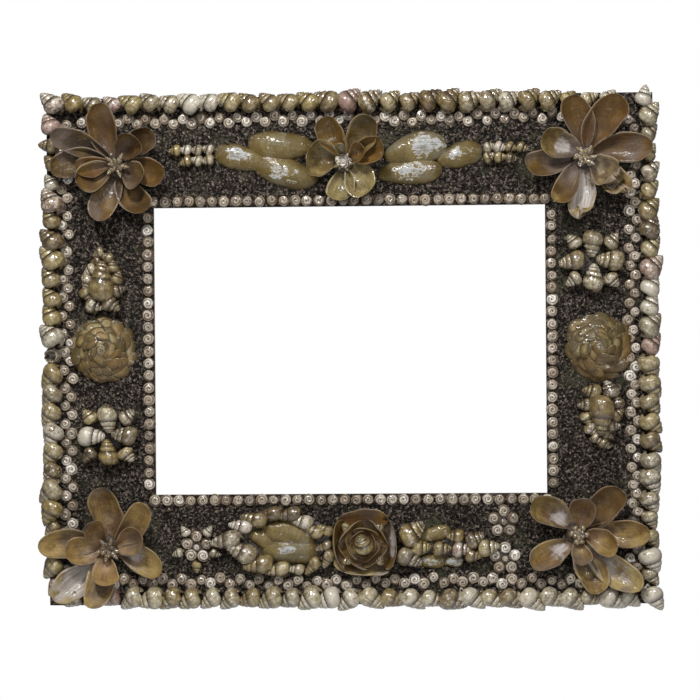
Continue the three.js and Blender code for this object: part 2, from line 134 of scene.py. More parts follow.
def to_model(points: np.ndarray) -> np.ndarray:
    """Turns face millimetres with z measured from the back into model metres.

    Args:
        points: Array of any shape whose last axis is x, y, z.

    Returns:
        The same points with x kept, z turned towards -Y and y lowered by the mount's height.
    """
    turned = np.stack([points[..., 0], -points[..., 2], points[..., 1] - SIZES.mount_height], axis=-1)
    return turned / 1000.0


def step_out(x: float, y: float, reach: float, direction: float) -> Pair:
    """The place this far from x, y in a direction, in degrees."""
    turn = math.radians(direction)
    return x + reach * math.cos(turn), y + reach * math.sin(turn)


@dataclass(frozen=True)
class Placement:
    """Where a shell lies on the grit and how it is turned, in millimetres and degrees."""

    x: float
    y: float
    z: float = 0.0
    direction: float = 0.0
    tilt: float = 0.0
    roll: float = 0.0

    def carry(self, points: np.ndarray) -> np.ndarray:
        """Carries a shell's own points to the model: roll about its length, tilt of its point, then direction.

        Args:
            points: Points in the shell's own millimetres, length along +x.

        Returns:
            The points in model metres.
        """
        turn = Matrix.Rotation(math.radians(self.direction), 3, "Z")
        lift = Matrix.Rotation(math.radians(-self.tilt), 3, "Y")
        twist = Matrix.Rotation(math.radians(self.roll), 3, "X")
        moved = points @ np.array(turn @ lift @ twist).T
        return to_model(moved + np.array([self.x, self.y, self.z + SIZES.face]))


@dataclass
class Surface:
    """A closed surface: a grid of rows, each row a ring of columns, with poles at its ends.

    Attributes:
        points: Rows by columns by 3, in millimetres.
        uv: Rows by columns plus one by 2, so that the last column of faces closes the ring.
        inner: Rows by columns, 1 on the hollow side of a valve.
        wear: Rows by columns, added to the shell's own wear.
        shade: Rows by columns of painted shade, taken from the shell's own tone.
        joined: The last row is the first row again, with no poles.
    """

    points: np.ndarray
    uv: np.ndarray
    inner: np.ndarray | None = None
    wear: np.ndarray | None = None
    shade: np.ndarray | None = None
    joined: bool = False

    def numbering(self) -> tuple[np.ndarray, np.ndarray]:
        """Numbers the vertices, with one number for all columns of a pole.

        Returns:
            The vertex number at each place of the grid, and the mask of places that give a vertex.
        """
        rows, columns = self.points.shape[:2]
        kept = np.ones((rows, columns), dtype=bool)
        if self.joined:
            kept[-1] = False
            numbers = np.arange(rows * columns).reshape(rows, columns)
            numbers[-1] = numbers[0]
            return numbers, kept
        kept[0, 1:] = False
        kept[-1, 1:] = False
        return np.cumsum(kept).reshape(rows, columns) - 1, kept


@dataclass(frozen=True)
class Tint:
    """A shell's own colour: tone from dark to light, wear of its skin, warmth from grey to gold, pinkness."""

    tone: float = 0.5
    wear: float = 0.3
    warm: float = 0.5
    pink: float = 0.0


class ShellMesh:
    """Gathers many surfaces into one mesh, with a tint per vertex and a finish per face."""

    def __init__(self) -> None:
        """Starts with nothing gathered."""
        self._gathered: list[tuple[np.ndarray, ...]] = []
        self.count = 0

    def add(self, surface: Surface, place: Placement, tint: Tint, finish: int = 0, painted_foot_shade: float = 0.0) -> None:
        """Adds one surface, its faces turned outwards by the sign of its volume.

        Args:
            surface: The shell in its own millimetres.
            place: Where it lies.
            tint: Its colour.
            finish: Index of its finish among the mesh's materials.
            painted_foot_shade: How much darker its foot is than its top: painted shade where the shells crowd
                one another.
        """
        numbers, kept = surface.numbering()
        points = place.carry(surface.points)[kept]
        after = np.roll(numbers, -1, axis=1)
        corners = np.stack([numbers[:-1], after[:-1], after[1:], numbers[1:]], axis=-1)
        uv = surface.uv
        corner_uv = np.stack([uv[:-1, :-1], uv[:-1, 1:], uv[1:, 1:], uv[1:, :-1]], axis=-2)
        middle = slice(None) if surface.joined else slice(1, -1)
        groups = [(corners[middle].reshape(-1, 4), corner_uv[middle].reshape(-1, 4, 2))]
        if not surface.joined:
            groups.append((corners[0][:, [0, 2, 3]], corner_uv[0][:, [0, 2, 3]]))
            groups.append((corners[-1][:, [0, 1, 2]], corner_uv[-1][:, [0, 1, 2]]))
        flat = np.concatenate([faces[:, pick] for faces, _ in groups for pick in fan_picks(faces.shape[1])])
        a, b, c = (points[flat[:, k]] for k in range(3))
        outward = np.einsum("ij,ij->", a - points[0], np.cross(b - points[0], c - points[0])) > 0
        zeros = np.zeros(kept.shape)
        inner = zeros + tint.pink if surface.inner is None else surface.inner
        wear = zeros if surface.wear is None else surface.wear
        shade = zeros if surface.shade is None else surface.shade
        # Painted shade comes off the tone here: the surface's own shade marks, and a darker foot on each shell
        # where shade falls between crowded shells.
        tints = np.stack([tint.tone - shade, wear + tint.wear, zeros + tint.warm, inner], axis=-1)[kept]
        height = (points[:, 1].max() - points[:, 1]) / max(float(np.ptp(points[:, 1])), 1e-9)
        tints[:, 0] -= painted_foot_shade * np.clip((0.82 - height) / 0.5, 0.0, 1.0)
        for position, (faces, face_uv) in enumerate(groups):
            order = slice(None) if outward else slice(None, None, -1)
            first = position == 0
            self.add_faces(points if first else points[:0], tints if first else tints[:0], faces[:, order],
                           face_uv[:, order], finish, True, self.count if first else self.count - len(points))

    def add_faces(self, points: np.ndarray, tints: np.ndarray, faces: np.ndarray, uv: np.ndarray,
                  finish: int, smooth: bool, base: int) -> None:
        """Adds faces that all have the same number of corners.

        Args:
            points: New vertices in model metres.
            tints: Their tints, four numbers each.
            faces: Faces by corners, numbered from base.
            uv: Faces by corners by 2.
            finish: Index of the finish.
            smooth: Whether the faces are shaded smooth.
            base: Number of the vertex that the faces call 0.
        """
        total, corners = faces.shape
        self._gathered.append((points, tints, (faces + base).ravel(), np.full(total, corners), uv.reshape(-1, 2),
                               np.full(total, int(finish)), np.full(total, smooth)))
        self.count += len(points)

    def build(self, name: str, finishes: list[bpy.types.Material]) -> bpy.types.Object:
        """Makes the mesh object at the origin.

        Args:
            name: Name of the object and of its mesh.
            finishes: Materials, in the order of the finish indexes.

        Returns:
            The object, linked into the scene.
        """
        points, tints, loops, sizes, uv, finish, smooth = (np.concatenate(part) for part in zip(*self._gathered))
        mesh = bpy.data.meshes.new(name)
        mesh.vertices.add(len(points))
        mesh.vertices.foreach_set("co", points.astype(np.float32).ravel())
        mesh.loops.add(len(loops))
        mesh.loops.foreach_set("vertex_index", loops.astype(np.int32))
        mesh.polygons.add(len(sizes))
        mesh.polygons.foreach_set("loop_start", (np.cumsum(sizes) - sizes).astype(np.int32))
        mesh.polygons.foreach_set("material_index", finish.astype(np.int32))
        mesh.polygons.foreach_set("use_smooth", smooth)
        mesh.update(calc_edges=True)
        layer = mesh.uv_layers.new(name="whorl")
        layer.uv.foreach_set("vector", uv.astype(np.float32).ravel())
        layer = mesh.attributes.new("tint", "FLOAT_COLOR", "POINT")
        layer.data.foreach_set("color", tints.astype(np.float32).ravel())
        for material in finishes:
            mesh.materials.append(material)
        shell = bpy.data.objects.new(name, mesh)
        bpy.context.scene.collection.objects.link(shell)
        return shell


def fan_picks(corners: int) -> list[list[int]]:
    """The corners of the triangles that a face of this many corners splits into."""
    return [[0, k, k + 1] for k in range(1, corners - 1)]


def ring_uv(rows: np.ndarray, columns: int) -> np.ndarray:
    """Gives u = share of the turn round the ring, and v = the row's own value.

    Args:
        rows: One value per row.
        columns: Columns in the ring.

    Returns:
        Rows by columns plus one by 2.
    """
    turn = np.linspace(0.0, 1.0, columns + 1)
    return np.stack(np.broadcast_arrays(turn[None, :], rows[:, None]), axis=-1)


def ripple(x: np.ndarray, y: np.ndarray, pitch: float, seed: int, waves: int = 16) -> np.ndarray:
    """Smooth unevenness: a sum of plane waves with seeded directions, lengths near the pitch, and phases.

    Args:
        x, y: The coordinates.
        pitch: Typical wave length in the coordinates' unit.
        seed: Seed of the waves.
        waves: Number of waves.

    Returns:
        Heights of about -1 to 1, in the shape of x.
    """
    rng = np.random.default_rng(seed)
    heading = rng.uniform(0.0, 2.0 * math.pi, waves)
    number = 2.0 * math.pi / (pitch * rng.uniform(0.7, 1.8, waves))
    phase = rng.uniform(0.0, 2.0 * math.pi, waves)
    along = x[..., None] * np.cos(heading) + y[..., None] * np.sin(heading)
    return np.sin(along * number + phase).sum(axis=-1) / math.sqrt(waves)


@dataclass(frozen=True)
class SpireShell:
    """A winkle lying on its side: point at +x, mouth end at -x, its middle swell near x = 0."""

    length: float
    width: float
    turns_ratio: float = 1.78
    body: float = 0.71
    turns: float = 5.5
    hug: float = 0.4
    plump: float = 0.62
    slope: float = 24.0
    suture: float = 42.0
    steps: int = 58

    def surface(self) -> Surface:
        """Winds the shell.

        A tube is wound round the axis. Its distance from the axis, its way down from the point and its
        section all grow by the same ratio each turn, more slowly near the mouth, so each whorl lies on the
        one before with a groove between. Distance and section grow across the axis as a power below one of
        their growth along it, so the outline is convex. The section is an oval, longer along the axis and
        sloped so that each whorl widens down to the next groove, with most of its columns on the outer
        side. The last rows close the mouth.

        Returns:
            The closed surface, with u counting turns, and v less u running from the groove over the whorl.
        """
        turn = np.append(self.turns * np.linspace(0.0, 1.0, self.steps) ** 0.8, [self.turns, self.turns - 0.02])
        late = np.maximum(turn - self.turns + 0.7, 0.0)
        size = self.turns_ratio ** (turn - self.turns + 0.7 * (0.7 - late))
        size[0] = 0.0
        section = np.ones_like(turn)
        section[-2:] = (0.72, 0.0)
        side = np.append(np.linspace(-118.0, 70.0, 10), (140.0, 205.0))
        beta = np.radians(side)[None, :]
        outer = 0.55 * self.width
        half = 0.5 * self.body * self.length
        bulge = section[:, None] * np.cos(beta + math.radians(self.slope) * (0.5 + 0.5 * np.sin(beta)))
        reach = size[:, None] ** self.plump * outer * (self.hug + (1.0 - self.hug) * bulge)
        down = size[:, None] * (self.length - half - half * section[:, None] * np.sin(beta))
        angle = (2.0 * math.pi * turn)[:, None]
        points = np.stack([0.58 * self.length - down, reach * np.cos(angle), reach * np.sin(angle)], axis=-1)
        phase = (self.suture - np.append(side, 242.0)) / 200.0
        uv = np.stack(np.broadcast_arrays(turn[:, None], turn[:, None] + phase[None, :]), axis=-1)
        return Surface(points, uv)


@dataclass(frozen=True)
class ButtonSpiral:
    """A small flat-coiled shell seen from above, its middle on the z axis, standing on z = 0."""

    radius: float
    height: float
    turns: float = 2.6
    tail: float = 0.0
    columns: int = 14

    def surface(self) -> Surface:
        """Coils the shell.

        The outline is a radius that grows over one turn, so it ends in the step of the mouth, and a tail
        lengthens its last columns. The top is a low dome whose height is multiplied by the sine of the
        whorl phase, and the phase counts turns from the middle less the turn angle.

        Returns:
            The closed surface, with v counting whorls from the middle.
        """
        share = np.array([0.0, 0.17, 0.33, 0.5, 0.67, 0.84, 1.0, 0.97, 0.0])
        level = np.array([1.0, 1.0, 0.97, 0.9, 0.78, 0.6, 0.28, 0.0, 0.0])
        angle = np.linspace(0.0, 2.0 * math.pi, self.columns, endpoint=False)
        turn = angle / (2.0 * math.pi)
        outline = 0.86 + 0.2 * turn + self.tail * np.exp(-(((turn - 0.93) / 0.06) ** 2))
        reach = share[:, None] * (1.0 + share[:, None] ** 3 * (outline[None, :] - 1.0)) * self.radius
        whorls = self.turns * share**0.85
        groove = 1.0 - np.abs(np.sin(math.pi * (whorls[:, None] - turn[None, :]))) ** 0.6
        dip = 1.0 - 0.3 * np.exp(-((share / 0.16) ** 2))[:, None]
        top = level[:, None] * (1.0 - 0.34 * groove) * dip
        top[-2:] = 0.0
        top[0] = top[1].mean() * 0.8
        points = np.stack([reach * np.cos(angle), reach * np.sin(angle), top * self.height], axis=-1)
        return Surface(points, ring_uv(whorls, self.columns))


@dataclass(frozen=True)
class BarnacleCup:
    """A broken barnacle: a short ribbed cone, open at the top."""

    foot: float = 7.2
    height: float = 8.0
    ribs: int = 9
    columns: int = 36

    def surface(self) -> Surface:
        """Turns the cone: the radius is multiplied by one plus a small cosine of the ribs, inside and out.

        Returns:
            The closed surface, with v kept past the last whorl so that no groove is drawn on it.
        """
        share = np.array([0.0, 1.0, 0.97, 0.84, 0.74, 0.66, 0.58, 0.5, 0.0]) * self.foot
        level = np.array([0.0, 0.0, 0.2, 0.6, 0.9, 1.0, 0.85, 0.3, 0.25]) * self.height
        angle = np.linspace(0.0, 2.0 * math.pi, self.columns, endpoint=False)[None, :]
        ribbed = share[:, None] * (1.0 + 0.05 * np.cos(self.ribs * angle))
        jagged = level[:, None] * (1.0 + 0.06 * ripple(3.0 * np.cos(angle), 3.0 * np.sin(angle), 2.0, 5))
        jagged[-1] = jagged[-1].mean()
        points = np.stack([ribbed * np.cos(angle), ribbed * np.sin(angle), jagged], axis=-1)
        # Painted shade: darker inside the cup and at the foot of its outer wall.
        dark = np.broadcast_to(np.array([0, 0, 0.3, 0.1, 0, 0, 0.3, 0.6, 0.6])[:, None], points.shape[:2])
        return Surface(points, ring_uv(np.full(len(share), 9.5), self.columns), shade=dark)


@dataclass(frozen=True)
class WornPatch:
    """A bare pearly patch on a valve: its middle and half sizes as shares of length and half width."""

    along: float
    across: float
    half_along: float
    half_across: float
    depth: float = 0.75


@dataclass(frozen=True)
class MusselValve:
    """One half of a mussel: hinge at x = 0, lip at +x, hollow side up where cup is above zero, else domed."""

    length: float
    width: float
    cup: float = 0.24
    wall: float = 0.7
    widest: float = 0.6
    bend: float = 0.05
    curl: float = 0.0
    chip: float = 0.0
    seed: int = 0
    patch: WornPatch | None = None
    rows: int = 20
    half_columns: int = 12
    fullness: float = 2.15
    base_shade: float = 0.0
    rim_shade: float = 0.0
    lopsided: float = 0.09

    def surface(self) -> Surface:
        """Shapes the valve as a thin closed wall.

        The half width along the length is the half ellipse of a power of the share, the power chosen so
        that it is widest where asked. The hollow is a parabola across, deepest in the middle of the length,
        with low growth ripples that follow the lip. The outside is the hollow moved back by the wall, which
        thins to the rim. Bend swings the middle line sideways, curl lifts the lip, and chip bites into it.
        The outline is widest nearer the lip on one side than on the other, and wavers a little. Base shade
        is painted shade in the hollow near the hinge, and rim shade paints a dark shadow line along the edge.

        Returns:
            The closed surface, with u across and v from hinge to lip.
        """
        q = np.linspace(0.0, 1.0, self.rows)
        along = (0.5 - 0.5 * np.cos(math.pi * q))[:, None]
        across = np.linspace(-1.0, 1.0, self.half_columns)
        ring = np.concatenate([across, across[::-1]])[None, :]
        hollow = np.concatenate([np.ones(self.half_columns), np.zeros(self.half_columns)])[None, :]
        lean = self.lopsided * (1.0 if self.seed % 2 else -1.0)
        power = math.log(0.5) / np.log(self.widest + lean * np.sign(ring))
        narrowing = np.abs(2.0 * along**power - 1.0) ** self.fullness
        half = np.sqrt(np.clip(1.0 - narrowing, 0.0, 1.0)) * self.width / 2
        half = half * (1.0 + 0.05 * ripple(along * 2.5, np.sign(ring) * 1.7, 1.0, self.seed + 3))
        belly = np.sin(math.pi * along**0.85) ** 0.65
        depth = (1.0 - np.abs(ring) ** 2.1) * belly * self.cup * self.width
        edge = np.sqrt(np.clip((1.0 - ring**2) * (1.0 - along**6), 0.0, 1.0))
        wall = self.wall * (0.4 + 0.6 * edge) * np.minimum(1.0, 6.0 * along) * (1.0 - hollow)
        bites = np.abs((ring * 1.4 + 0.37 * (self.seed % 7)) % 1.0 - 0.5) * 2.0
        bites = bites + 0.25 * ripple(ring * 5.0, ring, 1.0, self.seed)
        bitten = 1.0 - self.chip * along**3 * np.clip(bites, 0.0, 1.4)
        warp = ripple(along * 3.0, ring * 1.5, 2.0, self.seed + 5) * 0.02 * self.width * along
        growth = 0.006 * self.width * np.sin(2.0 * math.pi * 7.0 * along * (1.0 + 0.12 * ring**2)) * edge
        x = along * bitten * self.length
        y = ring * half + self.bend * self.length * np.sin(math.pi * along)
        z = -depth - wall * np.sign(self.cup) + self.curl * self.length * along**2 + warp + growth
        points = np.stack(np.broadcast_arrays(x, y, z), axis=-1)
        uv_across = np.concatenate([across, across[::-1], across[:1]]) * 0.5 + 0.5
        uv = np.stack(np.broadcast_arrays(uv_across[None, :], along), axis=-1)
        inner = np.broadcast_to(hollow, points.shape[:2])
        # Painted shade: dark in the hollow near the hinge, and a painted shadow line along the rim.
        rim = np.maximum(np.abs(ring), 2.0 * along - 1.0) ** 5
        shade = self.base_shade * np.exp(-((along / 0.24) ** 2)) * hollow + self.rim_shade * rim
        return Surface(points, uv, inner, self._worn(along, ring), shade)

    def _worn(self, along: np.ndarray, ring: np.ndarray) -> np.ndarray:
        """Extra wear: a bell over the worn patch, in shares of length and half width.

        Args:
            along: Share of the length, per row.
            ring: Share of the half width, per column.

        Returns:
            Rows by columns.
        """
        if self.patch is None:
            return np.zeros(np.broadcast_shapes(along.shape, ring.shape))
        offset = ((along - self.patch.along) / self.patch.half_along) ** 2
        aside = ((ring - self.patch.across) / self.patch.half_across) ** 2
        return self.patch.depth * np.exp(-offset - aside)


@dataclass(frozen=True)
class PuttyMound:
    """The low lump of putty that a group of shells is set in."""

    half_x: float
    half_y: float
    height: float
    seed: int = 0

    def surface(self) -> Surface:
        """A dome: the square root profile of an ellipsoid, made uneven by ripples, with a flat underside.

        Returns:
            The closed surface.
        """
        share = np.array([0.0, 0.3, 0.55, 0.75, 0.9, 1.0, 0.9, 0.0])
        level = np.array([1.0, 0.96, 0.85, 0.68, 0.44, 0.1, 0.0, 0.0])
        angle = np.linspace(0.0, 2.0 * math.pi, 24, endpoint=False)[None, :]
        rough = 1.0 + 0.06 * ripple(np.cos(angle) * 3.0, np.sin(angle) * 3.0, 2.0, self.seed)
        reach = share[:, None] * rough
        bumps = 1.0 + 0.12 * ripple(reach * np.cos(angle) * 4, reach * np.sin(angle) * 4, 2.0, self.seed + 1)
        z = np.where(np.arange(8)[:, None] < 6, level[:, None] * bumps, 0.0) * self.height
        z[0] = z[0].mean()
        points = np.stack([reach * np.cos(angle) * self.half_x, reach * np.sin(angle) * self.half_y, z], axis=-1)
        return Surface(points, ring_uv(share, 24))


Socket = bpy.types.NodeSocket


class Graph:
    """A material's node tree, with short words for the nodes that the finishes use."""

    varnish_wave: float = 330.0
    varnish_step: float = 0.001
    varnish_rough: float = 0.06

    def __init__(self, name: str) -> None:
        """Starts a material with a principled shader.

        Args:
            name: Name of the material.
        """
        self.material = bpy.data.materials.new(name)
        self.material.use_nodes = True
        self._tree = self.material.node_tree
        self.shader = self._tree.nodes["Principled BSDF"]

    def node(self, kind: str, feeds: dict[str | int, Socket | float | Colour] | None = None,
             **settings: str) -> bpy.types.ShaderNode:
        """Adds a node.

        Args:
            kind: Its type, without the words that all types start with.
            feeds: What goes into its sockets, by their names or numbers.
            settings: Its own options.

        Returns:
            The node.
        """
        added = self._tree.nodes.new(f"ShaderNode{kind}")
        for option, choice in settings.items():
            setattr(added, option, choice)
        for socket, value in (feeds or {}).items():
            self.feed(added.inputs[socket], value)
        return added

    def feed(self, socket: Socket, value: Socket | float | Colour) -> None:
        """Links a socket, or sets it to a constant.

        Args:
            socket: The socket.
            value: What goes into it.
        """
        if isinstance(value, bpy.types.NodeSocket):
            self._tree.links.new(value, socket)
        elif isinstance(value, tuple) and socket.type == "RGBA":
            socket.default_value = (*value, 1.0)
        else:
            socket.default_value = value

    def tint(self) -> tuple[Socket, Socket, Socket, Socket]:
        """The shell's own tone with its painted shade taken off, and its wear, warmth and hollow side."""
        attribute = self.node("Attribute", attribute_name="tint")
        return (*self.node("SeparateColor", {0: attribute.outputs["Color"]}).outputs, attribute.outputs["Alpha"])

    def uv(self) -> tuple[Socket, Socket, Socket]:
        """The surface's own u and v, and both as a vector."""
        both = self.node("UVMap", uv_map="whorl").outputs[0]
        return (*self.node("SeparateXYZ", {0: both}).outputs[:2], both)

    def place(self) -> Socket:
        """Object coordinates, in metres."""
        return self.node("TexCoord").outputs["Object"]

    def stretch(self, vector: Socket, scale: Colour) -> Socket:
        """A vector with its three axes scaled."""
        return self.node("Mapping", {"Vector": vector, "Scale": scale}).outputs[0]

    def noise(self, vector: Socket, scale: float, detail: float = 3.0, rough: float = 0.55) -> Socket:
        """Cloudy noise of about 0.3 to 0.7."""
        feeds = {"Vector": vector, "Scale": scale, "Detail": detail, "Roughness": rough}
        return self.node("TexNoise", feeds).outputs[0]

    def math(self, operation: str, a: Socket | float, b: Socket | float = 0.0) -> Socket:
        """One arithmetic step."""
        return self.node("Math", {0: a, 1: b}, operation=operation).outputs[0]

    def add(self, a: Socket, b: Socket) -> Socket:
        """A sum."""
        return self.math("ADD", a, b)

    def less(self, a: Socket, b: Socket | float) -> Socket:
        """What is left of a without b."""
        return self.math("SUBTRACT", a, b)

    def times(self, a: Socket, b: Socket | float) -> Socket:
        """A product."""
        return self.math("MULTIPLY", a, b)

    def most(self, a: Socket, b: Socket) -> Socket:
        """The larger of two values."""
        return self.math("MAXIMUM", a, b)

    def remap(self, value: Socket, low: float, high: float, start: float = 0.0, end: float = 1.0) -> Socket:
        """A smooth step from start to end while the value goes from low to high."""
        feeds = dict(enumerate((value, low, high, start, end)))
        return self.node("MapRange", feeds, interpolation_type="SMOOTHSTEP").outputs[0]

    def mix(self, share: Socket | float, a: Socket | Colour, b: Socket | Colour) -> Socket:
        """A mix of two colours."""
        return self.node("Mix", {0: share, 6: a, 7: b}, data_type="RGBA").outputs[2]

    def bump(self, height: Socket, strength: float, step: float) -> Socket:
        """The normal of a relief with steps of this height, in metres."""
        return self.node("Bump", {"Height": height, "Strength": strength, "Distance": step}).outputs[0]

    def ramp(self, value: Socket, stops: Stops) -> Socket:
        """Reads a colour off a row of stops.

        Args:
            value: Where it is read.
            stops: Places from 0 to 1 with their colours.

        Returns:
            The colour.
        """
        node = self.node("ValToRGB", {0: value})
        elements = node.color_ramp.elements
        for _ in stops[2:]:
            elements.new(0.5)
        for element, (position, colour) in zip(elements, stops):
            element.position = position
            element.color = (*colour, 1.0)
        return node.outputs[0]

    def finish(self, colour: Socket, rough: Socket, height: Socket, strength: float, step: float,
               varnish: float = 0.0) -> bpy.types.Material:
        """Wires colour, roughness and relief to the shader and sets its varnish.

        Args:
            colour: Base colour.
            rough: Roughness.
            height: Relief that the bump reads.
            strength: Strength of the bump.
            step: Height of the relief in metres.
            varnish: Weight of the clear coat.

        Returns:
            The finished material.
        """
        wave = self.noise(self.place(), self.varnish_wave, 1.0)
        feeds = {"Base Color": colour, "Roughness": rough, "Normal": self.bump(height, strength, step),
                 "Coat Normal": self.bump(wave, 0.5, self.varnish_step), "Coat Weight": varnish,
                 "Coat Roughness": self.varnish_rough}
        for socket, value in feeds.items():
            self.feed(self.shader.inputs[socket], value)
        return self.material


@dataclass(frozen=True)
class SpireFinish:
    """Varnished winkle: grey or golden body, spiral bands, chalky wear, painted shade in the grooves."""

    name: str = "varnished_winkle"
    gold: Stops = ((0.0, (0.06, 0.034, 0.011)), (0.4, (0.175, 0.122, 0.038)), (0.75, (0.30, 0.235, 0.09)),
                   (1.0, (0.44, 0.365, 0.18)))
    grey: Stops = ((0.0, (0.055, 0.041, 0.029)), (0.4, (0.155, 0.126, 0.087)), (0.75, (0.295, 0.266, 0.198)),
                   (1.0, (0.51, 0.48, 0.395)))
    chalk: Colour = (0.45, 0.405, 0.33)
    rose: Colour = (0.30, 0.165, 0.15)
    # Colour of the painted shade in the sutures.
    groove: Colour = (0.022, 0.013, 0.007)
    band: Colour = (0.085, 0.05, 0.02)

    def material(self) -> bpy.types.Material:
        """Builds the material.

        Returns:
            The material.
        """
        graph = Graph(self.name)
        tone, wear, warm, pink = graph.tint()
        turn, whorl, surface = graph.uv()
        phase = graph.math("FRACT", graph.less(whorl, turn))
        place = graph.place()
        cloud = graph.noise(place, 260.0)
        speck = graph.noise(place, 1300.0, 2.0)
        flow = graph.noise(place, 300.0, 4.0, 0.7)
        shade = graph.add(tone, graph.remap(cloud, 0.3, 0.7, -0.24, 0.24))
        plain = graph.mix(warm, graph.ramp(shade, self.grey), graph.ramp(shade, self.gold))
        body = graph.mix(graph.times(pink, 0.8), plain, self.rose)
        stripes = graph.math("SINE", graph.times(phase, 25.0))
        streaks = graph.noise(graph.stretch(surface, (34.0, 1.2, 1.0)), 1.0, 2.0)
        ringed = graph.times(graph.remap(stripes, 0.2, 0.9, 0.0, 0.45), graph.remap(cloud, 0.4, 0.6))
        banded = graph.mix(ringed, body, self.band)
        streaked = graph.mix(graph.remap(streaks, 0.5, 0.66, 0.0, 0.45), banded, self.band)
        tip = graph.remap(whorl, 4.6, 2.9, 0.0, 0.06)
        # The bulge of each whorl turns chalky more readily: partly real wear, partly a painted highlight.
        shoulder_wear_and_highlight = graph.remap(graph.math("ABSOLUTE", graph.less(phase, 0.24)), 0.0, 0.16, 0.06, 0.0)
        exposed = graph.add(graph.add(wear, tip), shoulder_wear_and_highlight)
        bare = graph.add(exposed, graph.times(flow, 0.9))
        chalky = graph.remap(graph.add(bare, graph.times(speck, 0.3)), 0.89, 1.03, 0.0, 0.85)
        worn = graph.mix(chalky, streaked, self.chalk)
        # Painted shade at the sutures: a dark line on both sides of each suture, and a softer dark band
        # spreading from it over the start of each whorl.
        below = graph.less(phase, graph.remap(turn, 4.2, 5.2, 0.0, 0.06))
        edge = graph.most(graph.remap(below, 0.0, 0.09, 1.0, 0.0), graph.remap(phase, 0.8, 0.94))
        suture_shade = graph.most(graph.times(edge, 0.97), graph.remap(below, 0.04, 0.17, 0.5, 0.0))
        colour = graph.mix(suture_shade, worn, self.groove)
        rough = graph.remap(speck, 0.3, 0.7, 0.17, 0.38)
        lines = graph.noise(graph.stretch(surface, (40.0, 5.0, 1.0)), 1.0, 2.0)
        height = graph.less(graph.add(lines, cloud), edge)
        return graph.finish(colour, rough, height, 0.5, 0.0005, 0.9)


@dataclass(frozen=True)
class ButtonFinish:
    """Pale button spiral: bone coloured coils with a brown line wound between them."""

    name: str = "button_spiral"
    bone: Stops = ((0.0, (0.12, 0.09, 0.06)), (0.4, (0.27, 0.222, 0.165)), (0.75, (0.44, 0.39, 0.32)),
                   (1.0, (0.68, 0.64, 0.58)))
    rust: Colour = (0.26, 0.17, 0.09)
    line: Colour = (0.036, 0.021, 0.012)

    def material(self) -> bpy.types.Material:
        """Builds the material.

        Returns:
            The material.
        """
        graph = Graph(self.name)
        tone, wear, warm, _ = graph.tint()
        turn, whorl, _ = graph.uv()
        phase = graph.math("FRACT", graph.less(whorl, turn))
        place = graph.place()
        cloud = graph.noise(place, 420.0)
        speck = graph.noise(place, 1700.0, 2.0)
        shade = graph.add(tone, graph.remap(cloud, 0.3, 0.7, -0.22, 0.22))
        bone = graph.mix(graph.times(warm, 0.5), graph.ramp(shade, self.bone), self.rust)
        suture = graph.most(graph.remap(phase, 0.05, 0.27, 1.0, 0.0), graph.remap(phase, 0.82, 0.95))
        groove = graph.most(suture, graph.remap(whorl, 0.45, 0.2))
        faded = graph.times(groove, graph.remap(graph.add(wear, cloud), 1.2, 0.8, 0.45, 0.97))
        colour = graph.mix(faded, bone, self.line)
        rough = graph.remap(speck, 0.3, 0.7, 0.28, 0.55)
        height = graph.less(graph.add(cloud, speck), groove)
        return graph.finish(colour, rough, height, 0.5, 0.0003, 0.55)


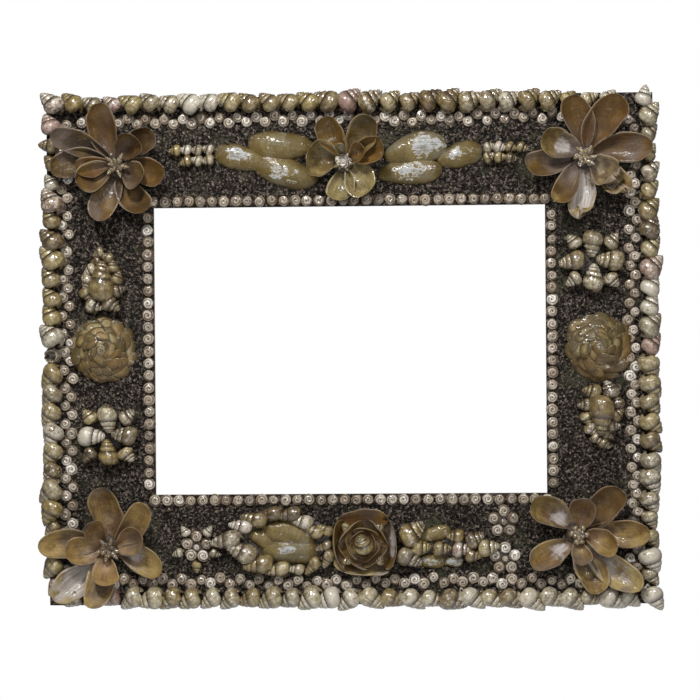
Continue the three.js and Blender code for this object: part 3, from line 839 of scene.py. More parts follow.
@dataclass(frozen=True)
class ValveFinish:
    """Mussel valve: amber lip, pearly grey hinge, growth lines that follow the lip, bare pearl where worn."""

    name: str
    hinge: Stops
    lip: Stops
    outside: Colour
    pearl: Colour
    dull: Colour
    rim: Colour
    mauve: float
    pearl_from: float
    growth: Colour = (0.045, 0.026, 0.011)
    mist: Colour = (0.112, 0.086, 0.076)
    amber: Colour = (0.27, 0.12, 0.025)
    varnish: float = 0.12
    flakes: float = 0.25
    pearl_fade: float = 0.07
    growth_lines: float = 0.26
    chalk: Colour = (0.44, 0.42, 0.375)
    fibrous: float = 0.5
    sheen_from: float = 0.44

    def material(self) -> bpy.types.Material:
        """Builds the material.

        Returns:
            The material.
        """
        graph = Graph(self.name)
        tone, wear, warm, inner = graph.tint()
        across, along, surface = graph.uv()
        place = graph.place()
        cloud = graph.noise(place, 75.0)
        speck = graph.noise(place, 700.0, 3.0)
        shade = graph.add(tone, graph.remap(cloud, 0.3, 0.7, -0.25, 0.25))
        reach = graph.add(along, graph.remap(cloud, 0.3, 0.7, -0.2, 0.2))
        hinge, lip = graph.ramp(shade, self.hinge), graph.ramp(shade, self.lip)
        body = graph.mix(graph.remap(reach, 0.15, 0.7), hinge, lip)
        orange = graph.mix(graph.times(warm, 0.5), body, self.amber)
        centred = graph.math("ABSOLUTE", graph.less(across, 0.5))
        bow = graph.times(graph.times(centred, centred), 1.1)
        order = graph.add(graph.add(along, bow), graph.times(cloud, 0.16))
        rings = graph.math("SINE", graph.times(order, 78.0))
        misty = graph.remap(graph.noise(place, 38.0, 4.0), 0.5, 0.66, 0.0, self.mauve)
        grey = graph.mix(misty, orange, self.mist)
        threads = graph.noise(graph.stretch(surface, (26.0, 2.4, 1.0)), 1.0, 4.0)
        threaded = graph.mix(graph.remap(threads, 0.46, 0.68, 0.0, 0.5), grey, self.growth)
        lined = graph.mix(graph.remap(rings, 0.1, 1.0, 0.0, self.growth_lines), threaded, self.growth)
        stains = graph.remap(graph.noise(place, 95.0, 4.0, 0.65), 0.52, 0.7, 0.0, 0.55)
        stained = graph.mix(stains, lined, self.growth)
        sided = graph.mix(inner, graph.mix(0.35, stained, self.outside), stained)
        streak = graph.noise(graph.stretch(surface, (11.0, 2.6, 1.0)), 1.0, 4.0, 0.6)
        blot = graph.times(graph.noise(place, 130.0, 5.0, 0.72), 1.3)
        bare = graph.add(graph.add(wear, graph.times(streak, 0.5)), blot)
        pits = graph.noise(place, 300.0, 4.0, 0.7)
        fibre = graph.add(graph.times(threads, self.fibrous), graph.times(pits, 1.0 - self.fibrous))
        sheen = graph.mix(graph.remap(fibre, self.sheen_from, 0.6), self.pearl, self.dull)
        flake = graph.remap(graph.noise(place, 330.0, 4.0, 0.7), 0.62, 0.68, 0.0, self.flakes)
        flaked = graph.mix(flake, sided, sheen)
        worn = graph.mix(graph.remap(bare, self.pearl_from, self.pearl_from + 0.14), self.chalk, sheen)
        shown = graph.remap(bare, self.pearl_from, self.pearl_from + self.pearl_fade, 0.0, 0.92)
        pearly = graph.mix(shown, flaked, worn)
        # A thin line of the rim colour along the edge and lip: a painted shadow line on leaves, a pale rim on
        # petals and scales.
        brim = graph.most(graph.remap(centred, 0.455, 0.5), graph.remap(along, 0.975, 0.995))
        colour = graph.mix(graph.times(brim, 0.55), pearly, self.rim)
        rough = graph.remap(speck, 0.3, 0.7, 0.36, 0.66)
        graph.shader.inputs["Specular IOR Level"].default_value = 0.2
        ridges = graph.add(graph.times(rings, 0.12), graph.times(threads, 0.5))
        height = graph.add(ridges, graph.times(speck, 0.5))
        return graph.finish(colour, rough, height, 0.5, 0.0006, self.varnish)


@dataclass(frozen=True)
class GritFinish:
    """Near-black grit: dark grains of uneven tone with a few pale and greenish ones."""

    name: str = "dark_grit"
    grains: Stops = ((0.0, (0.005, 0.004, 0.003)), (0.3, (0.018, 0.014, 0.011)), (0.6, (0.075, 0.058, 0.046)),
                     (1.0, (0.30, 0.245, 0.20)))
    moss: Colour = (0.075, 0.075, 0.04)

    def material(self) -> bpy.types.Material:
        """Builds the material.

        Returns:
            The material.
        """
        graph = Graph(self.name)
        tone, _, warm, _ = graph.tint()
        place = graph.place()
        cloud = graph.noise(place, 45.0)
        speck = graph.noise(place, 400.0, 5.0, 0.75)
        weave = graph.less(graph.noise(place, 170.0, 4.0, 0.65), 0.5)
        strand = graph.remap(graph.math("ABSOLUTE", weave), 0.0, 0.05, 1.0, 0.0)
        bright = graph.times(strand, graph.remap(speck, 0.42, 0.54, 0.0, 0.95))
        uneven = graph.add(tone, graph.remap(speck, 0.38, 0.62, -0.5, 0.36))
        shade = graph.add(uneven, bright)
        grains = graph.ramp(shade, self.grains)
        stain = graph.times(graph.remap(cloud, 0.5, 0.75, 0.0, 0.5), warm)
        colour = graph.mix(stain, grains, self.moss)
        rough = graph.remap(speck, 0.3, 0.7, 0.5, 0.9)
        graph.shader.inputs["Specular IOR Level"].default_value = 0.12
        return graph.finish(colour, rough, graph.add(speck, bright), 1.0, 0.0014)


@dataclass(frozen=True)
class PuttyFinish:
    """Brown setting putty, lumpy and dusty, glossy where the varnish ran over it."""

    name: str = "setting_putty"
    tones: Stops = ((0.25, (0.012, 0.008, 0.005)), (0.55, (0.034, 0.023, 0.015)), (0.8, (0.09, 0.067, 0.045)))

    def material(self) -> bpy.types.Material:
        """Builds the material.

        Returns:
            The material.
        """
        graph = Graph(self.name)
        place = graph.place()
        cloud = graph.noise(place, 240.0, 4.0)
        speck = graph.noise(place, 1100.0, 2.0)
        rough = graph.remap(cloud, 0.3, 0.7, 0.35, 0.8)
        return graph.finish(graph.ramp(cloud, self.tones), rough, graph.add(cloud, speck), 0.8, 0.0008, 0.2)


@dataclass(frozen=True)
class WoodFinish:
    """Old softwood: grain lines along the board, dark with age, paler and dusty on the sight edge."""

    grain: Grain
    tones: Stops = ((0.2, (0.075, 0.046, 0.026)), (0.5, (0.155, 0.098, 0.055)), (0.8, (0.25, 0.165, 0.10)))
    dust: Colour = (0.36, 0.345, 0.315)
    pore: Colour = (0.03, 0.018, 0.01)

    def material(self) -> bpy.types.Material:
        """Builds the material.

        Returns:
            The material.
        """
        graph = Graph(f"old_wood_{self.grain.value}")
        _, wear, _, _ = graph.tint()
        place = graph.place()
        squeeze = (6.0, 90.0, 90.0) if self.grain is Grain.ALONG_X else (90.0, 90.0, 6.0)
        fibre = graph.noise(graph.stretch(place, squeeze), 1.0, 5.0, 0.6)
        pores = graph.noise(graph.stretch(place, tuple(8.0 * axis for axis in squeeze)), 1.0, 2.0)
        cloud = graph.noise(place, 22.0)
        wood = graph.ramp(graph.add(graph.times(fibre, 0.75), graph.times(cloud, 0.25)), self.tones)
        dark = graph.mix(graph.remap(pores, 0.58, 0.72, 0.0, 0.6), wood, self.pore)
        dusty = graph.times(wear, graph.remap(cloud, 0.25, 0.6, 0.6, 1.0))
        colour = graph.mix(dusty, dark, self.dust)
        rough = graph.remap(fibre, 0.3, 0.7, 0.6, 0.85)
        return graph.finish(colour, rough, graph.add(fibre, pores), 0.5, 0.0006)


@dataclass(frozen=True)
class FloorFinish:
    """Pale studio floor."""

    name: str = "pale_floor"
    tones: Stops = ((0.3, (0.74, 0.735, 0.725)), (0.7, (0.80, 0.795, 0.785)))

    def material(self) -> bpy.types.Material:
        """Builds the material.

        Returns:
            The material.
        """
        graph = Graph(self.name)
        cloud = graph.noise(graph.place(), 6.0)
        rough = graph.remap(cloud, 0.3, 0.7, 0.6, 0.75)
        return graph.finish(graph.ramp(cloud, self.tones), rough, cloud, 0.1, 0.001)


PETAL_FINISH = ValveFinish(
    name="mussel_petal",
    hinge=((0.0, (0.024, 0.017, 0.012)), (0.5, (0.082, 0.059, 0.039)), (1.0, (0.27, 0.228, 0.175))),
    lip=((0.0, (0.028, 0.015, 0.004)), (0.5, (0.105, 0.063, 0.017)), (1.0, (0.30, 0.225, 0.085))),
    outside=(0.07, 0.046, 0.022),
    rim=(0.30, 0.24, 0.17),
    pearl=(0.40, 0.365, 0.345),
    dull=(0.25, 0.215, 0.19),
    pearl_from=1.3,
    pearl_fade=0.3,
    growth_lines=0.14,
    mauve=0.7,
    chalk=(0.40, 0.365, 0.345),
    fibrous=1.0,
    sheen_from=0.4,
)
LEAF_FINISH = ValveFinish(
    name="mussel_leaf",
    hinge=((0.0, (0.03, 0.018, 0.005)), (0.5, (0.098, 0.071, 0.02)), (1.0, (0.24, 0.19, 0.085))),
    lip=((0.0, (0.03, 0.018, 0.005)), (0.5, (0.098, 0.07, 0.018)), (1.0, (0.23, 0.178, 0.07))),
    outside=(0.098, 0.072, 0.02),
    # Dark rim: a painted shadow line round the leaf.
    rim=(0.05, 0.033, 0.012),
    pearl=(0.33, 0.345, 0.35),
    dull=(0.15, 0.134, 0.10),
    growth=(0.045, 0.03, 0.011),
    mist=(0.15, 0.138, 0.105),
    mauve=0.85,
    varnish=0.22,
    flakes=0.7,
    pearl_from=1.5,
)
SCALE_FINISH = replace(
    LEAF_FINISH,
    name="mussel_scale",
    hinge=((0.0, (0.024, 0.014, 0.004)), (0.5, (0.098, 0.071, 0.02)), (1.0, (0.30, 0.24, 0.12))),
    lip=((0.0, (0.024, 0.014, 0.004)), (0.5, (0.098, 0.07, 0.018)), (1.0, (0.29, 0.23, 0.10))),
    outside=(0.12, 0.085, 0.028),
    rim=(0.30, 0.235, 0.13),
    mist=(0.085, 0.062, 0.042),
    mauve=0.7,
    varnish=0.4,
    flakes=0.8,
)


class Slot(Enum):
    """The record's material slots."""

    WOOD = "wood"
    GRIT = "grit"
    GOLDEN = "golden_shell"
    PALE = "pale_shell"
    MUSSEL = "mussel_shell"


class Workshop:
    """Holds the finishes and hands finished pieces over to the frame."""

    def __init__(self) -> None:
        """Builds each finish once."""
        self.spire = SpireFinish().material()
        self.button = ButtonFinish().material()
        self.petal = PETAL_FINISH.material()
        self.leaf = LEAF_FINISH.material()
        self.scale = SCALE_FINISH.material()
        self.grit = GritFinish().material()
        self.putty = PuttyFinish().material()
        self.wood = {grain: WoodFinish(grain).material() for grain in Grain}

    def shell_finishes(self) -> list[bpy.types.Material]:
        """The finishes of a mixed group of shells, in the order of Kind."""
        return [self.spire, self.button, self.petal, self.leaf, self.putty, self.scale]

    def hand_over(self, mesh: ShellMesh, node: str, slot: Slot,
                  finishes: list[bpy.types.Material] | None = None) -> None:
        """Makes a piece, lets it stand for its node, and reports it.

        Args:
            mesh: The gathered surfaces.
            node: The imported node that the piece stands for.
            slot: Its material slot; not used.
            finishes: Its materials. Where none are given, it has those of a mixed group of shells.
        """
        piece = mesh.build(f"{node}_dressed", finishes or self.shell_finishes())
        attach(piece, "root")
        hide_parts(node)
        log.info("%s: %d faces", piece.name, len(piece.data.polygons))


class Kind(IntEnum):
    """Indexes of the finishes of a mixed group of shells."""

    SPIRE = 0
    BUTTON = 1
    PETAL = 2
    LEAF = 3
    PUTTY = 4
    SCALE = 5


class ShellGroup:
    """A mesh of mixed shells, with one method per kind of shell."""

    def __init__(self, seed: int) -> None:
        """Starts an empty group.

        Args:
            seed: Seed of the group's own unevenness.
        """
        self.mesh = ShellMesh()
        self.rng = np.random.default_rng(seed)

    def around(self, middle: float, spread: float) -> float:
        """A seeded number within a spread of a middle."""
        return middle + spread * float(self.rng.uniform(-1.0, 1.0))

    def winkle_tint(self, pale: float = 0.0) -> Tint:
        """The tint of one winkle: half are golden olive, a third grey and worn, a few brown, white or pink.

        Args:
            pale: Share by which the golden ones give way to grey and worn ones.

        Returns:
            The tint.
        """
        pick = float(self.rng.random())
        if pick < 0.5 - 0.3 * pale:
            return Tint(self.around(0.54, 0.18), self.around(0.16, 0.12), self.around(0.78, 0.2))
        if pick < 0.84:
            return Tint(self.around(0.56 + 0.14 * pale, 0.17), self.around(0.28, 0.12), self.around(0.36, 0.2))
        if pick < 0.94:
            return Tint(self.around(0.22, 0.12), self.around(0.18, 0.1), self.around(0.75, 0.2))
        if pick < 0.97:
            return Tint(self.around(0.86, 0.08), self.around(0.42, 0.06), self.around(0.2, 0.1))
        return Tint(self.around(0.45, 0.15), self.around(0.3, 0.1), 0.3, 0.7)

    def spire(self, x: float, y: float, direction: float, length: float, width: float, lift: float = 0.36,
              tilt: float = 0.0, tint: Tint | None = None, z: float = 0.0, sleek: float = 0.0) -> None:
        """Lays one spire shell on its side, sunk a little into the ground.

        Args:
            x, y: Place of its swell.
            direction: Where its point looks, in degrees.
            length: Its length.
            width: Its width.
            lift: Height of its axis as a share of its width.
            tilt: How far its point is raised.
            tint: Its colour, or a seeded one.
            z: Height of what it lies on.
            sleek: How smooth and pointed it is: 0 for a stubby winkle, 1 for a slim shell.
        """
        ratio = self.around(1.78 - 0.14 * sleek, 0.06)
        body = self.around(0.71 - 0.03 * sleek, 0.02)
        shell = SpireShell(length, width, ratio, body, plump=0.62 - 0.05 * sleek)
        place = Placement(x, y, z + (lift + 0.06) * width, direction, tilt, self.around(90.0, 28.0))
        self.mesh.add(shell.surface(), place, tint or self.winkle_tint(), Kind.SPIRE, 0.42)

    def button(self, x: float, y: float, radius: float, height: float, spin: float, tail: float = 0.0,
               z: float = -0.4, lean: float = 8.0, tone: float = 0.5) -> None:
        """Lays one button spiral on the ground.

        Args:
            x, y: Its middle.
            radius: Its radius.
            height: Its height.
            spin: Direction of its mouth, in degrees.
            tail: How far its mouth stands out.
            z: Height of what it lies on.
            lean: The most that it leans.
            tone: Middle of its tone.
        """
        shell = ButtonSpiral(radius, height, turns=self.around(2.1, 0.25), tail=tail)
        place = Placement(x, y, z, spin, self.around(0.0, lean), self.around(0.0, lean))
        warm = float(np.clip(self.rng.normal(0.25, 0.22), 0.0, 0.9))
        own_tone = float(np.clip(self.rng.normal(tone, 0.2), 0.05, 1.0))
        tint = Tint(own_tone, float(self.rng.uniform(0.1, 0.5)), warm)
        self.mesh.add(shell.surface(), place, tint, Kind.BUTTON, 0.3)

    def mound(self, x: float, y: float, half_x: float, half_y: float, height: float, z: float = -0.6) -> None:
        """Sets a lump of putty on the ground."""
        seed = int(self.rng.integers(10000))
        self.mesh.add(PuttyMound(half_x, half_y, height, seed).surface(), Placement(x, y, z), Tint(), Kind.PUTTY)


@dataclass
class WoodenFrame:
    """Two full-height stiles and two rails between them, rebated at the back."""

    shop: Workshop
    sizes: FrameSizes = SIZES
    chamfer: float = 0.7
    step: float = 6.0

    def build(self) -> None:
        """Builds the four boards."""
        sizes = self.sizes
        half_rebate = sizes.sight_height / 2 + sizes.rebate_width
        stile = self._board(sizes.stile_width, sizes.board_height, half_rebate)
        rail = self._board(sizes.rail_height, sizes.sight_width, sizes.sight_width)
        for name, side in (("left_stile", -1.0), ("right_stile", 1.0)):
            across = side * (sizes.sight_width / 2 + stile[..., 0])
            self._hand_over(name, np.stack([across, stile[..., 2], stile[..., 1]], axis=-1), Grain.ALONG_Z)
        for name, side in (("bottom_rail", -1.0), ("top_rail", 1.0)):
            across = side * (sizes.sight_height / 2 + rail[..., 0])
            self._hand_over(name, np.stack([rail[..., 2], across, rail[..., 1]], axis=-1), Grain.ALONG_X)

    def _board(self, width: float, length: float, rebate_half: float) -> np.ndarray:
        """Carries an L-shaped section along a board, with chamfered edges and pole rows that close its ends.

        The section starts at the sight edge: 0 is the edge of the opening and width is the outer edge.
        Where the rebate stops, the corner of the L moves out to the full rectangle within a fifth of a
        millimetre.

        Args:
            width: Width of the board from the sight edge.
            length: Its length.
            rebate_half: Half the length of the rebate.

        Returns:
            Rows by columns of width, depth and length, in millimetres.
        """
        c, deep, wide = self.chamfer, self.sizes.rebate_depth, self.sizes.rebate_width
        front = self.sizes.board_depth
        rebated = np.array([[0, deep], [0, front - c], [c, front], [width / 2, front], [width - c, front],
                            [width, front - c], [width, c], [width - c, 0], [width / 2, 0], [wide, 0],
                            [wide, deep], [0.3, deep]])
        plain = rebated.copy()
        plain[-2:] = [[0.3, 0.0], [0.0, 0.3]]
        half = length / 2
        stations = np.arange(-half + c, half - c + 0.01, (length - 2 * c) / round(length / self.step))
        cuts = np.array([-rebate_half - 0.2, -rebate_half, rebate_half, rebate_half + 0.2])
        stations = np.sort(np.concatenate([stations, cuts[np.abs(cuts) < half - 2 * c]]))
        inside = (np.abs(stations) <= rebate_half + 0.05)[:, None, None]
        section = np.where(inside, rebated, plain)
        middle = np.array([width / 2, 0.8 * front])
        ends = [middle + (section[k] - middle) * np.array([1 - 2 * c / width, 0.93]) for k in (0, -1)]
        pole = np.broadcast_to(middle, ends[0].shape)
        rings = np.concatenate([[pole, ends[0]], section, [ends[1], pole]])
        places = np.concatenate([[-half, -half], stations, [half, half]])
        along = np.broadcast_to(places[:, None], rings.shape[:2])
        worn = 0.18 * ripple(along, rings[..., 0] + 3.0 * rings[..., 1], 60.0, int(width))
        worn[:2] = 0.0
        worn[-2:] = 0.0
        across = rings[..., 0] + np.where(rings[..., 0] > width - 0.1, -np.abs(worn), 0.0)
        return np.stack([across, rings[..., 1], along], axis=-1)

    def _hand_over(self, name: str, points: np.ndarray, grain: Grain) -> None:
        """Makes one board, dusty on its sight edge.

        Args:
            name: Its node.
            points: Rows by columns by 3, in millimetres from the back.
            grain: Which way its grain runs.
        """
        columns = points.shape[1]
        dusty = np.zeros(columns)
        dusty[:2] = 0.85
        wear = np.broadcast_to(dusty, points.shape[:2]).copy()
        wear[[0, 1, -2, -1]] = 0.0
        uv = ring_uv(np.linspace(0.0, 1.0, len(points)), columns)
        mesh = ShellMesh()
        place = Placement(0.0, 0.0, -self.sizes.face)
        mesh.add(Surface(points, uv, wear=wear), place, Tint(0.5, 0.0, 0.5))
        self.shop.hand_over(mesh, name, Slot.WOOD, [self.shop.wood[grain]])
        flat = bpy.data.objects[f"{name}_dressed"].data
        flat.polygons.foreach_set("use_smooth", np.zeros(len(flat.polygons), dtype=bool))


@dataclass
class GritCoat:
    """The dark coat over the whole face: an uneven skin with thousands of loose-looking grains in it."""

    shop: Workshop
    sizes: FrameSizes = SIZES
    pitch: float = 3.2
    uneven: float = 0.5
    grains: int = 20000
    grain_radius: Pair = (0.8, 2.0)
    seed: int = 11

    def build(self) -> None:
        """Builds skin and grains as one piece."""
        mesh = ShellMesh()
        mesh.add(self._skin(), Placement(0.0, 0.0, -self.sizes.face), Tint(0.2, 0.0, 1.0))
        self._add_grains(mesh)
        self.shop.hand_over(mesh, "grit_coat", Slot.GRIT, [self.shop.grit])

    def _skin(self) -> Surface:
        """A ring-shaped slab: columns run round the opening, rows run from its edge out to the board's edge.

        Each point lies on the straight line from the opening's outline to the board's outline. The last
        rows turn down the outer edge, go back underneath and come up the inner edge, where the grid closes
        on itself.

        Returns:
            The closed surface, in millimetres from the back.
        """
        sizes = self.sizes
        inner = self._outline(sizes.sight_width - 0.6, sizes.sight_height - 0.6)
        outer = self._outline(sizes.board_width - 0.6, sizes.board_height - 0.6)
        rows = round(sizes.stile_width / self.pitch)
        share = np.concatenate([np.linspace(0.0, 1.0, rows), [1.0, 0.0, 0.0]])
        top = np.concatenate([np.ones(rows), [0.0, 0.0, 1.0]])
        flat = inner[None] + share[:, None, None] * (outer - inner)[None]
        rough = self._relief(flat[..., 0], flat[..., 1])
        edge = np.minimum(1.0, 12.0 * np.minimum(share, 1.0 - share))[:, None]
        height = sizes.board_depth + 0.02 + top[:, None] * (sizes.grit_depth + rough * (0.3 + 0.7 * edge))
        points = np.concatenate([flat, np.maximum(height, sizes.board_depth + 0.02)[..., None]], axis=-1)
        return Surface(points, ring_uv(share, flat.shape[1]), joined=True)

    def _relief(self, x: np.ndarray, y: np.ndarray) -> np.ndarray:
        """Height of the skin's lumps above its mean: long waves and short waves."""
        return self.uneven * (ripple(x, y, 9.0, self.seed) + 0.7 * ripple(x, y, 4.5, 3))

    def _outline(self, width: float, height: float) -> np.ndarray:
        """Points round a rectangle, the same number on each side whatever its size.

        Args:
            width: Width of the rectangle.
            height: Its height.

        Returns:
            Points by 2, from the lower left corner on.
        """
        across = round(self.sizes.board_width / self.pitch)
        up = round(self.sizes.board_height / self.pitch)
        s = np.linspace(-0.5, 0.5, across, endpoint=False)
        t = np.linspace(-0.5, 0.5, up, endpoint=False)
        loop = [(s, -0.5 + 0 * s), (0.5 + 0 * t, t), (-s, 0.5 + 0 * s), (-0.5 + 0 * t, -t)]
        return np.concatenate([np.stack([x * width, y * height], axis=-1) for x, y in loop])

    def _add_grains(self, mesh: ShellMesh) -> None:
        """Strews grains: each is an uneven octahedron, its six points pushed in or out at random.

        Args:
            mesh: Takes the grains.
        """
        rng = np.random.default_rng(self.seed)
        sizes = self.sizes
        half = np.array([sizes.board_width / 2 - 2.0, sizes.board_height / 2 - 2.0])
        spots = rng.uniform(-half, half, (3 * self.grains, 2))
        open_half = np.array([sizes.sight_width / 2 + 1.5, sizes.sight_height / 2 + 1.5])
        spots = spots[(np.abs(spots) > open_half).any(axis=1)][: self.grains]
        count = len(spots)
        axes = np.array([[1, 0, 0], [0, 1, 0], [-1, 0, 0], [0, -1, 0], [0, 0, 1], [0, 0, -1]], dtype=float)
        radius = rng.uniform(*self.grain_radius, (count, 1, 1)) * rng.uniform(0.6, 1.35, (count, 6, 1))
        slim = np.stack([np.ones(count), rng.uniform(0.3, 0.65, count), rng.uniform(0.35, 0.7, count)], axis=-1)
        local = axes[None] * radius * slim[:, None] + rng.uniform(-0.2, 0.2, (count, 6, 3))
        turn, dip = rng.uniform(0.0, 2.0 * math.pi, (2, count, 1)) * np.array([1.0, 0.12])[:, None, None]
        raised = local[..., 0] * np.sin(dip) + local[..., 2] * np.cos(dip)
        level = local[..., 0] * np.cos(dip) - local[..., 2] * np.sin(dip)
        x = level * np.cos(turn) - local[..., 1] * np.sin(turn) + spots[:, None, 0]
        y = level * np.sin(turn) + local[..., 1] * np.cos(turn) + spots[:, None, 1]
        z = raised + sizes.face + self._relief(spots[:, :1], spots[:, 1:]) + rng.uniform(0.1, 0.9, (count, 1))
        points = to_model(np.stack([x, y, z], axis=-1).reshape(-1, 3))
        tone = np.repeat(np.clip(rng.normal(0.4, 0.3, count), 0.0, 1.0), 6)
        tints = np.stack([tone, 0 * tone, np.repeat(rng.uniform(0, 1, count), 6), 0 * tone], axis=-1)
        ring = np.array([[0, 1, 4], [1, 2, 4], [2, 3, 4], [3, 0, 4], [1, 0, 5], [2, 1, 5], [3, 2, 5], [0, 3, 5]])
        faces = (ring[None] + 6 * np.arange(count)[:, None, None]).reshape(-1, 3)
        mesh.add_faces(points, tints, faces, np.zeros((len(faces), 3, 2)), 0, False, mesh.count)


@dataclass(frozen=True)
class RowRun:
    """One outer row: its side, where it starts and ends from the side's middle, and its number of shells.

    Pale is the share of grey and worn shells, and sleek is how slim and long those of the second half are.
    """

    side: Side
    start: float
    end: float
    count: int
    pale: float = 0.0
    sleek: float = 0.0


def under_petal(x: float, y: float) -> bool:
    """Tells whether a petal of a corner flower lies over a place of the face.

    Args:
        x, y: The place.

    Returns:
        Whether the place, measured along and across each petal, falls on one.
    """
    for plan in CORNER_PLANS:
        for petal in plan.low + plan.high:
            far = math.radians(petal.direction)
            along = (x - plan.x) * math.cos(far) + (y - plan.y) * math.sin(far)
            aside = abs((y - plan.y) * math.cos(far) - (x - plan.x) * math.sin(far))
            if 0.0 < along < petal.reach + 5.0 and aside < petal.width / 2 + 4.0:
                return True
    return False


@dataclass
class OuterRows:
    """Winkles round the outer edge, leaning with their points outwards and away from the side's middle."""

    shop: Workshop
    sizes: FrameSizes = SIZES
    inset_side: float = 3.6
    inset_end: float = 5.0
    lean: float = 56.0
    bottom_lean: float = 59.0
    length: float = 22.4
    fatness: float = 0.74
    runs: tuple[RowRun, ...] = (
        RowRun(Side.TOP, 213.0, -243.0, 29, -0.45),
        RowRun(Side.RIGHT, -203.0, 192.0, 26, 0.3),
        RowRun(Side.BOTTOM, -229.0, 228.0, 29, 1.2, 0.7),
        RowRun(Side.LEFT, 188.0, -194.0, 25, 0.5),
    )
    corner_winkle: tuple[float, float, float] = (233.5, 197.5, 78.0)
    odd_tints: tuple[tuple[Side, int, Tint], ...] = (
        (Side.TOP, 25, Tint(0.42, 0.3, 0.3, 0.9)), (Side.TOP, 9, Tint(0.16, 0.1, 0.9)),
        (Side.TOP, 28, Tint(0.12, 0.34, 0.6, 0.4)), (Side.LEFT, 0, Tint(0.6, 0.26, 0.2, 0.9)),
        (Side.LEFT, 3, Tint(0.8, 0.28, 0.15)), (Side.LEFT, 4, Tint(0.2, 0.3, 0.8, 0.3)),
        (Side.RIGHT, 25, Tint(0.7, 0.2, 0.3)), (Side.RIGHT, 0, Tint(0.8, 0.4, 0.2)),
    )
    outlier: tuple[Side, int] = (Side.LEFT, 1)
    tucked: float = 0.78
    barnacle: tuple[Side, int] = (Side.LEFT, 12)
    seed: int = 100

    def build(self) -> None:
        """Lays the four rows."""
        for number, run in enumerate(self.runs):
            group = ShellGroup(self.seed + number)
            for index in range(run.count):
                self._lay(group, run, index)
            if run.side is Side.RIGHT:
                group.spire(*self.corner_winkle, 19.0, 13.6, 0.34, 0.0, Tint(0.6, 0.45, 0.15))
            self.shop.hand_over(group.mesh, f"outer_row_{run.side.label}", Slot.GOLDEN)

    def _lay(self, group: ShellGroup, run: RowRun, index: int) -> None:
        """Lays one winkle, or the one barnacle, at its place along the side.

        Args:
            group: Takes the shell.
            run: The row.
            index: Number of the shell in the row.
        """
        sizes = self.sizes
        along = run.start + (index + 0.5) / run.count * (run.end - run.start)
        upright = run.side in (Side.LEFT, Side.RIGHT)
        reach = sizes.board_width / 2 - self.inset_side if upright else sizes.board_height / 2 - self.inset_end
        out = math.radians(run.side.outwards)
        place = np.array([math.cos(out), math.sin(out)]) * group.around(reach - 0.8, 0.9)
        place[1 if upright else 0] += along + group.around(0.0, 0.8)
        x, y = place.tolist()
        if (run.side, index) == self.barnacle:
            cup = Placement(x, y, -0.5, 0.0, 6.0, 4.0)
            group.mesh.add(BarnacleCup().surface(), cup, Tint(0.62, 0.3, 0.1), Kind.SPIRE)
            return
        away = math.copysign(1.0, along)
        turn = away if run.side in (Side.RIGHT, Side.BOTTOM) else -away
        sleek = run.sleek if along > 0.0 else 0.0
        length = self.length * group.around(1.0 + 0.14 * sleek, 0.1)
        tucked = under_petal(x, y)
        length *= self.tucked if tucked else 1.0
        usual = self.bottom_lean if run.side is Side.BOTTOM else self.lean
        lean = 4.0 if (run.side, index) == self.outlier else group.around(usual, 12.0)
        tint = next((odd for side, number, odd in self.odd_tints if (side, number) == (run.side, index)), None)
        group.spire(x, y, run.side.outwards + turn * lean, length,
                    length * group.around(self.fatness - 0.13 * sleek, 0.05), 0.34, group.around(-4.0, 7.0),
                    tint or group.winkle_tint(run.pale), -2.0 if tucked else -0.5, sleek)


